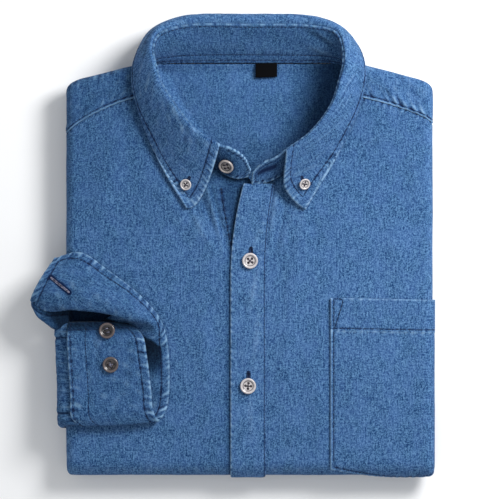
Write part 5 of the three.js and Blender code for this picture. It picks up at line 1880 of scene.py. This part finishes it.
class SHIRT_OT_buttons(bpy.types.Operator):
    """Make the buttons with their thread"""

    bl_idname = "shirt.buttons"
    bl_label = "Buttons"

    def execute(self, context):
        for name, diameter, back, tilt, spin, finish, crossed, darker in BUTTONS:
            points, wear_and_painted_light, radius = button_grid(diameter, back, tilt, spin, darker)
            rows, columns = points.shape[:2]
            middle = points[[0, -1]].mean(axis=1)
            count = rows * columns
            ahead = np.roll(np.arange(columns), -1)
            first = np.stack([ahead, np.arange(columns), np.full(columns, count)], axis=-1)
            base = (rows - 1) * columns
            last = np.stack([base + np.arange(columns), base + ahead, np.full(columns, count + 1)], axis=-1)
            faces = [grid_faces(rows, columns, ring=True), first, last]
            all_points = np.concatenate([points.reshape(-1, 3), middle])
            # Painted light level at the middles of the two faces.
            all_painted_light = np.concatenate([wear_and_painted_light.ravel(), [0.3, 0.0]])
            slot = "smoke" if "cuff" in name else "pearl"
            obj = write_mesh(f"{name}_disc", all_points, faces, finish_named(finish), wear_and_painted_light=all_painted_light)
            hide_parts(name)
            hole = 0.25 * radius
            level = 0.13 * radius
            pairs = [((-hole, -hole), (hole, hole)), ((-hole, hole), (hole, -hole))]
            if not crossed:
                pairs = [((-hole, -hole), (hole, -hole)), ((-hole, hole), (hole, hole))]
            shapes, faces = [], []
            for step, (start, end) in enumerate(pairs):
                for offset in (-0.16, 0.16):
                    across = np.array([-(end[1] - start[1]), end[0] - start[0]])
                    across = across / np.linalg.norm(across) * offset
                    low = (start[0] + across[0], start[1] + across[1], level)
                    high = (end[0] + across[0], end[1] + across[1], level)
                    tube = straight_thread(low, high, 0.2, 0.13 * radius + 0.12 * step + 0.1)
                    faces.append(tube_faces(*tube.shape[:2], start=len(shapes) * tube.shape[0] * tube.shape[1]))
                    shapes.append(place_turned(tube.reshape(-1, 3), back, tilt, spin))
            thread = finish_named("pale_thread" if slot == "smoke" else "button_thread")
            write_mesh(f"{name}_thread", np.concatenate(shapes), [np.concatenate(faces)], thread)
        return {"FINISHED"}


class SHIRT_PT_pieces(bpy.types.Panel):
    """The pieces of the folded shirt"""

    bl_idname = "SHIRT_PT_pieces"
    bl_label = "Folded Shirt"
    bl_space_type = "VIEW_3D"
    bl_region_type = "UI"
    bl_category = "Shirt"

    def draw(self, context):
        for piece in PIECES:
            self.layout.operator(piece.bl_idname)
        for group in (context.scene.folded_shirt, context.scene.shirt_colours):
            for label in group.__annotations__:
                self.layout.prop(group, label)


PIECES = (
    SHIRT_OT_studio, SHIRT_OT_layers, SHIRT_OT_fronts, SHIRT_OT_pocket, SHIRT_OT_collar, SHIRT_OT_cuff,
    SHIRT_OT_buttons,
)
CLASSES = (ShirtSizes, ShirtColours, *PIECES, SHIRT_PT_pieces)


def register():
    """Registers the classes and puts the settings on the scene."""
    for each in CLASSES:
        bpy.utils.register_class(each)
    bpy.types.Scene.folded_shirt = PointerProperty(type=ShirtSizes)
    bpy.types.Scene.shirt_colours = PointerProperty(type=ShirtColours)


def unregister():
    """Takes the settings and the classes away."""
    del bpy.types.Scene.shirt_colours
    del bpy.types.Scene.folded_shirt
    for each in reversed(CLASSES):
        bpy.utils.unregister_class(each)


def main():
    """Makes every piece in order."""
    register()
    bpy.ops.shirt.studio()
    bpy.ops.shirt.layers()
    bpy.ops.shirt.fronts()
    bpy.ops.shirt.pocket()
    bpy.ops.shirt.collar()
    bpy.ops.shirt.cuff()
    bpy.ops.shirt.buttons()


if __name__ == "__main__":
    main()
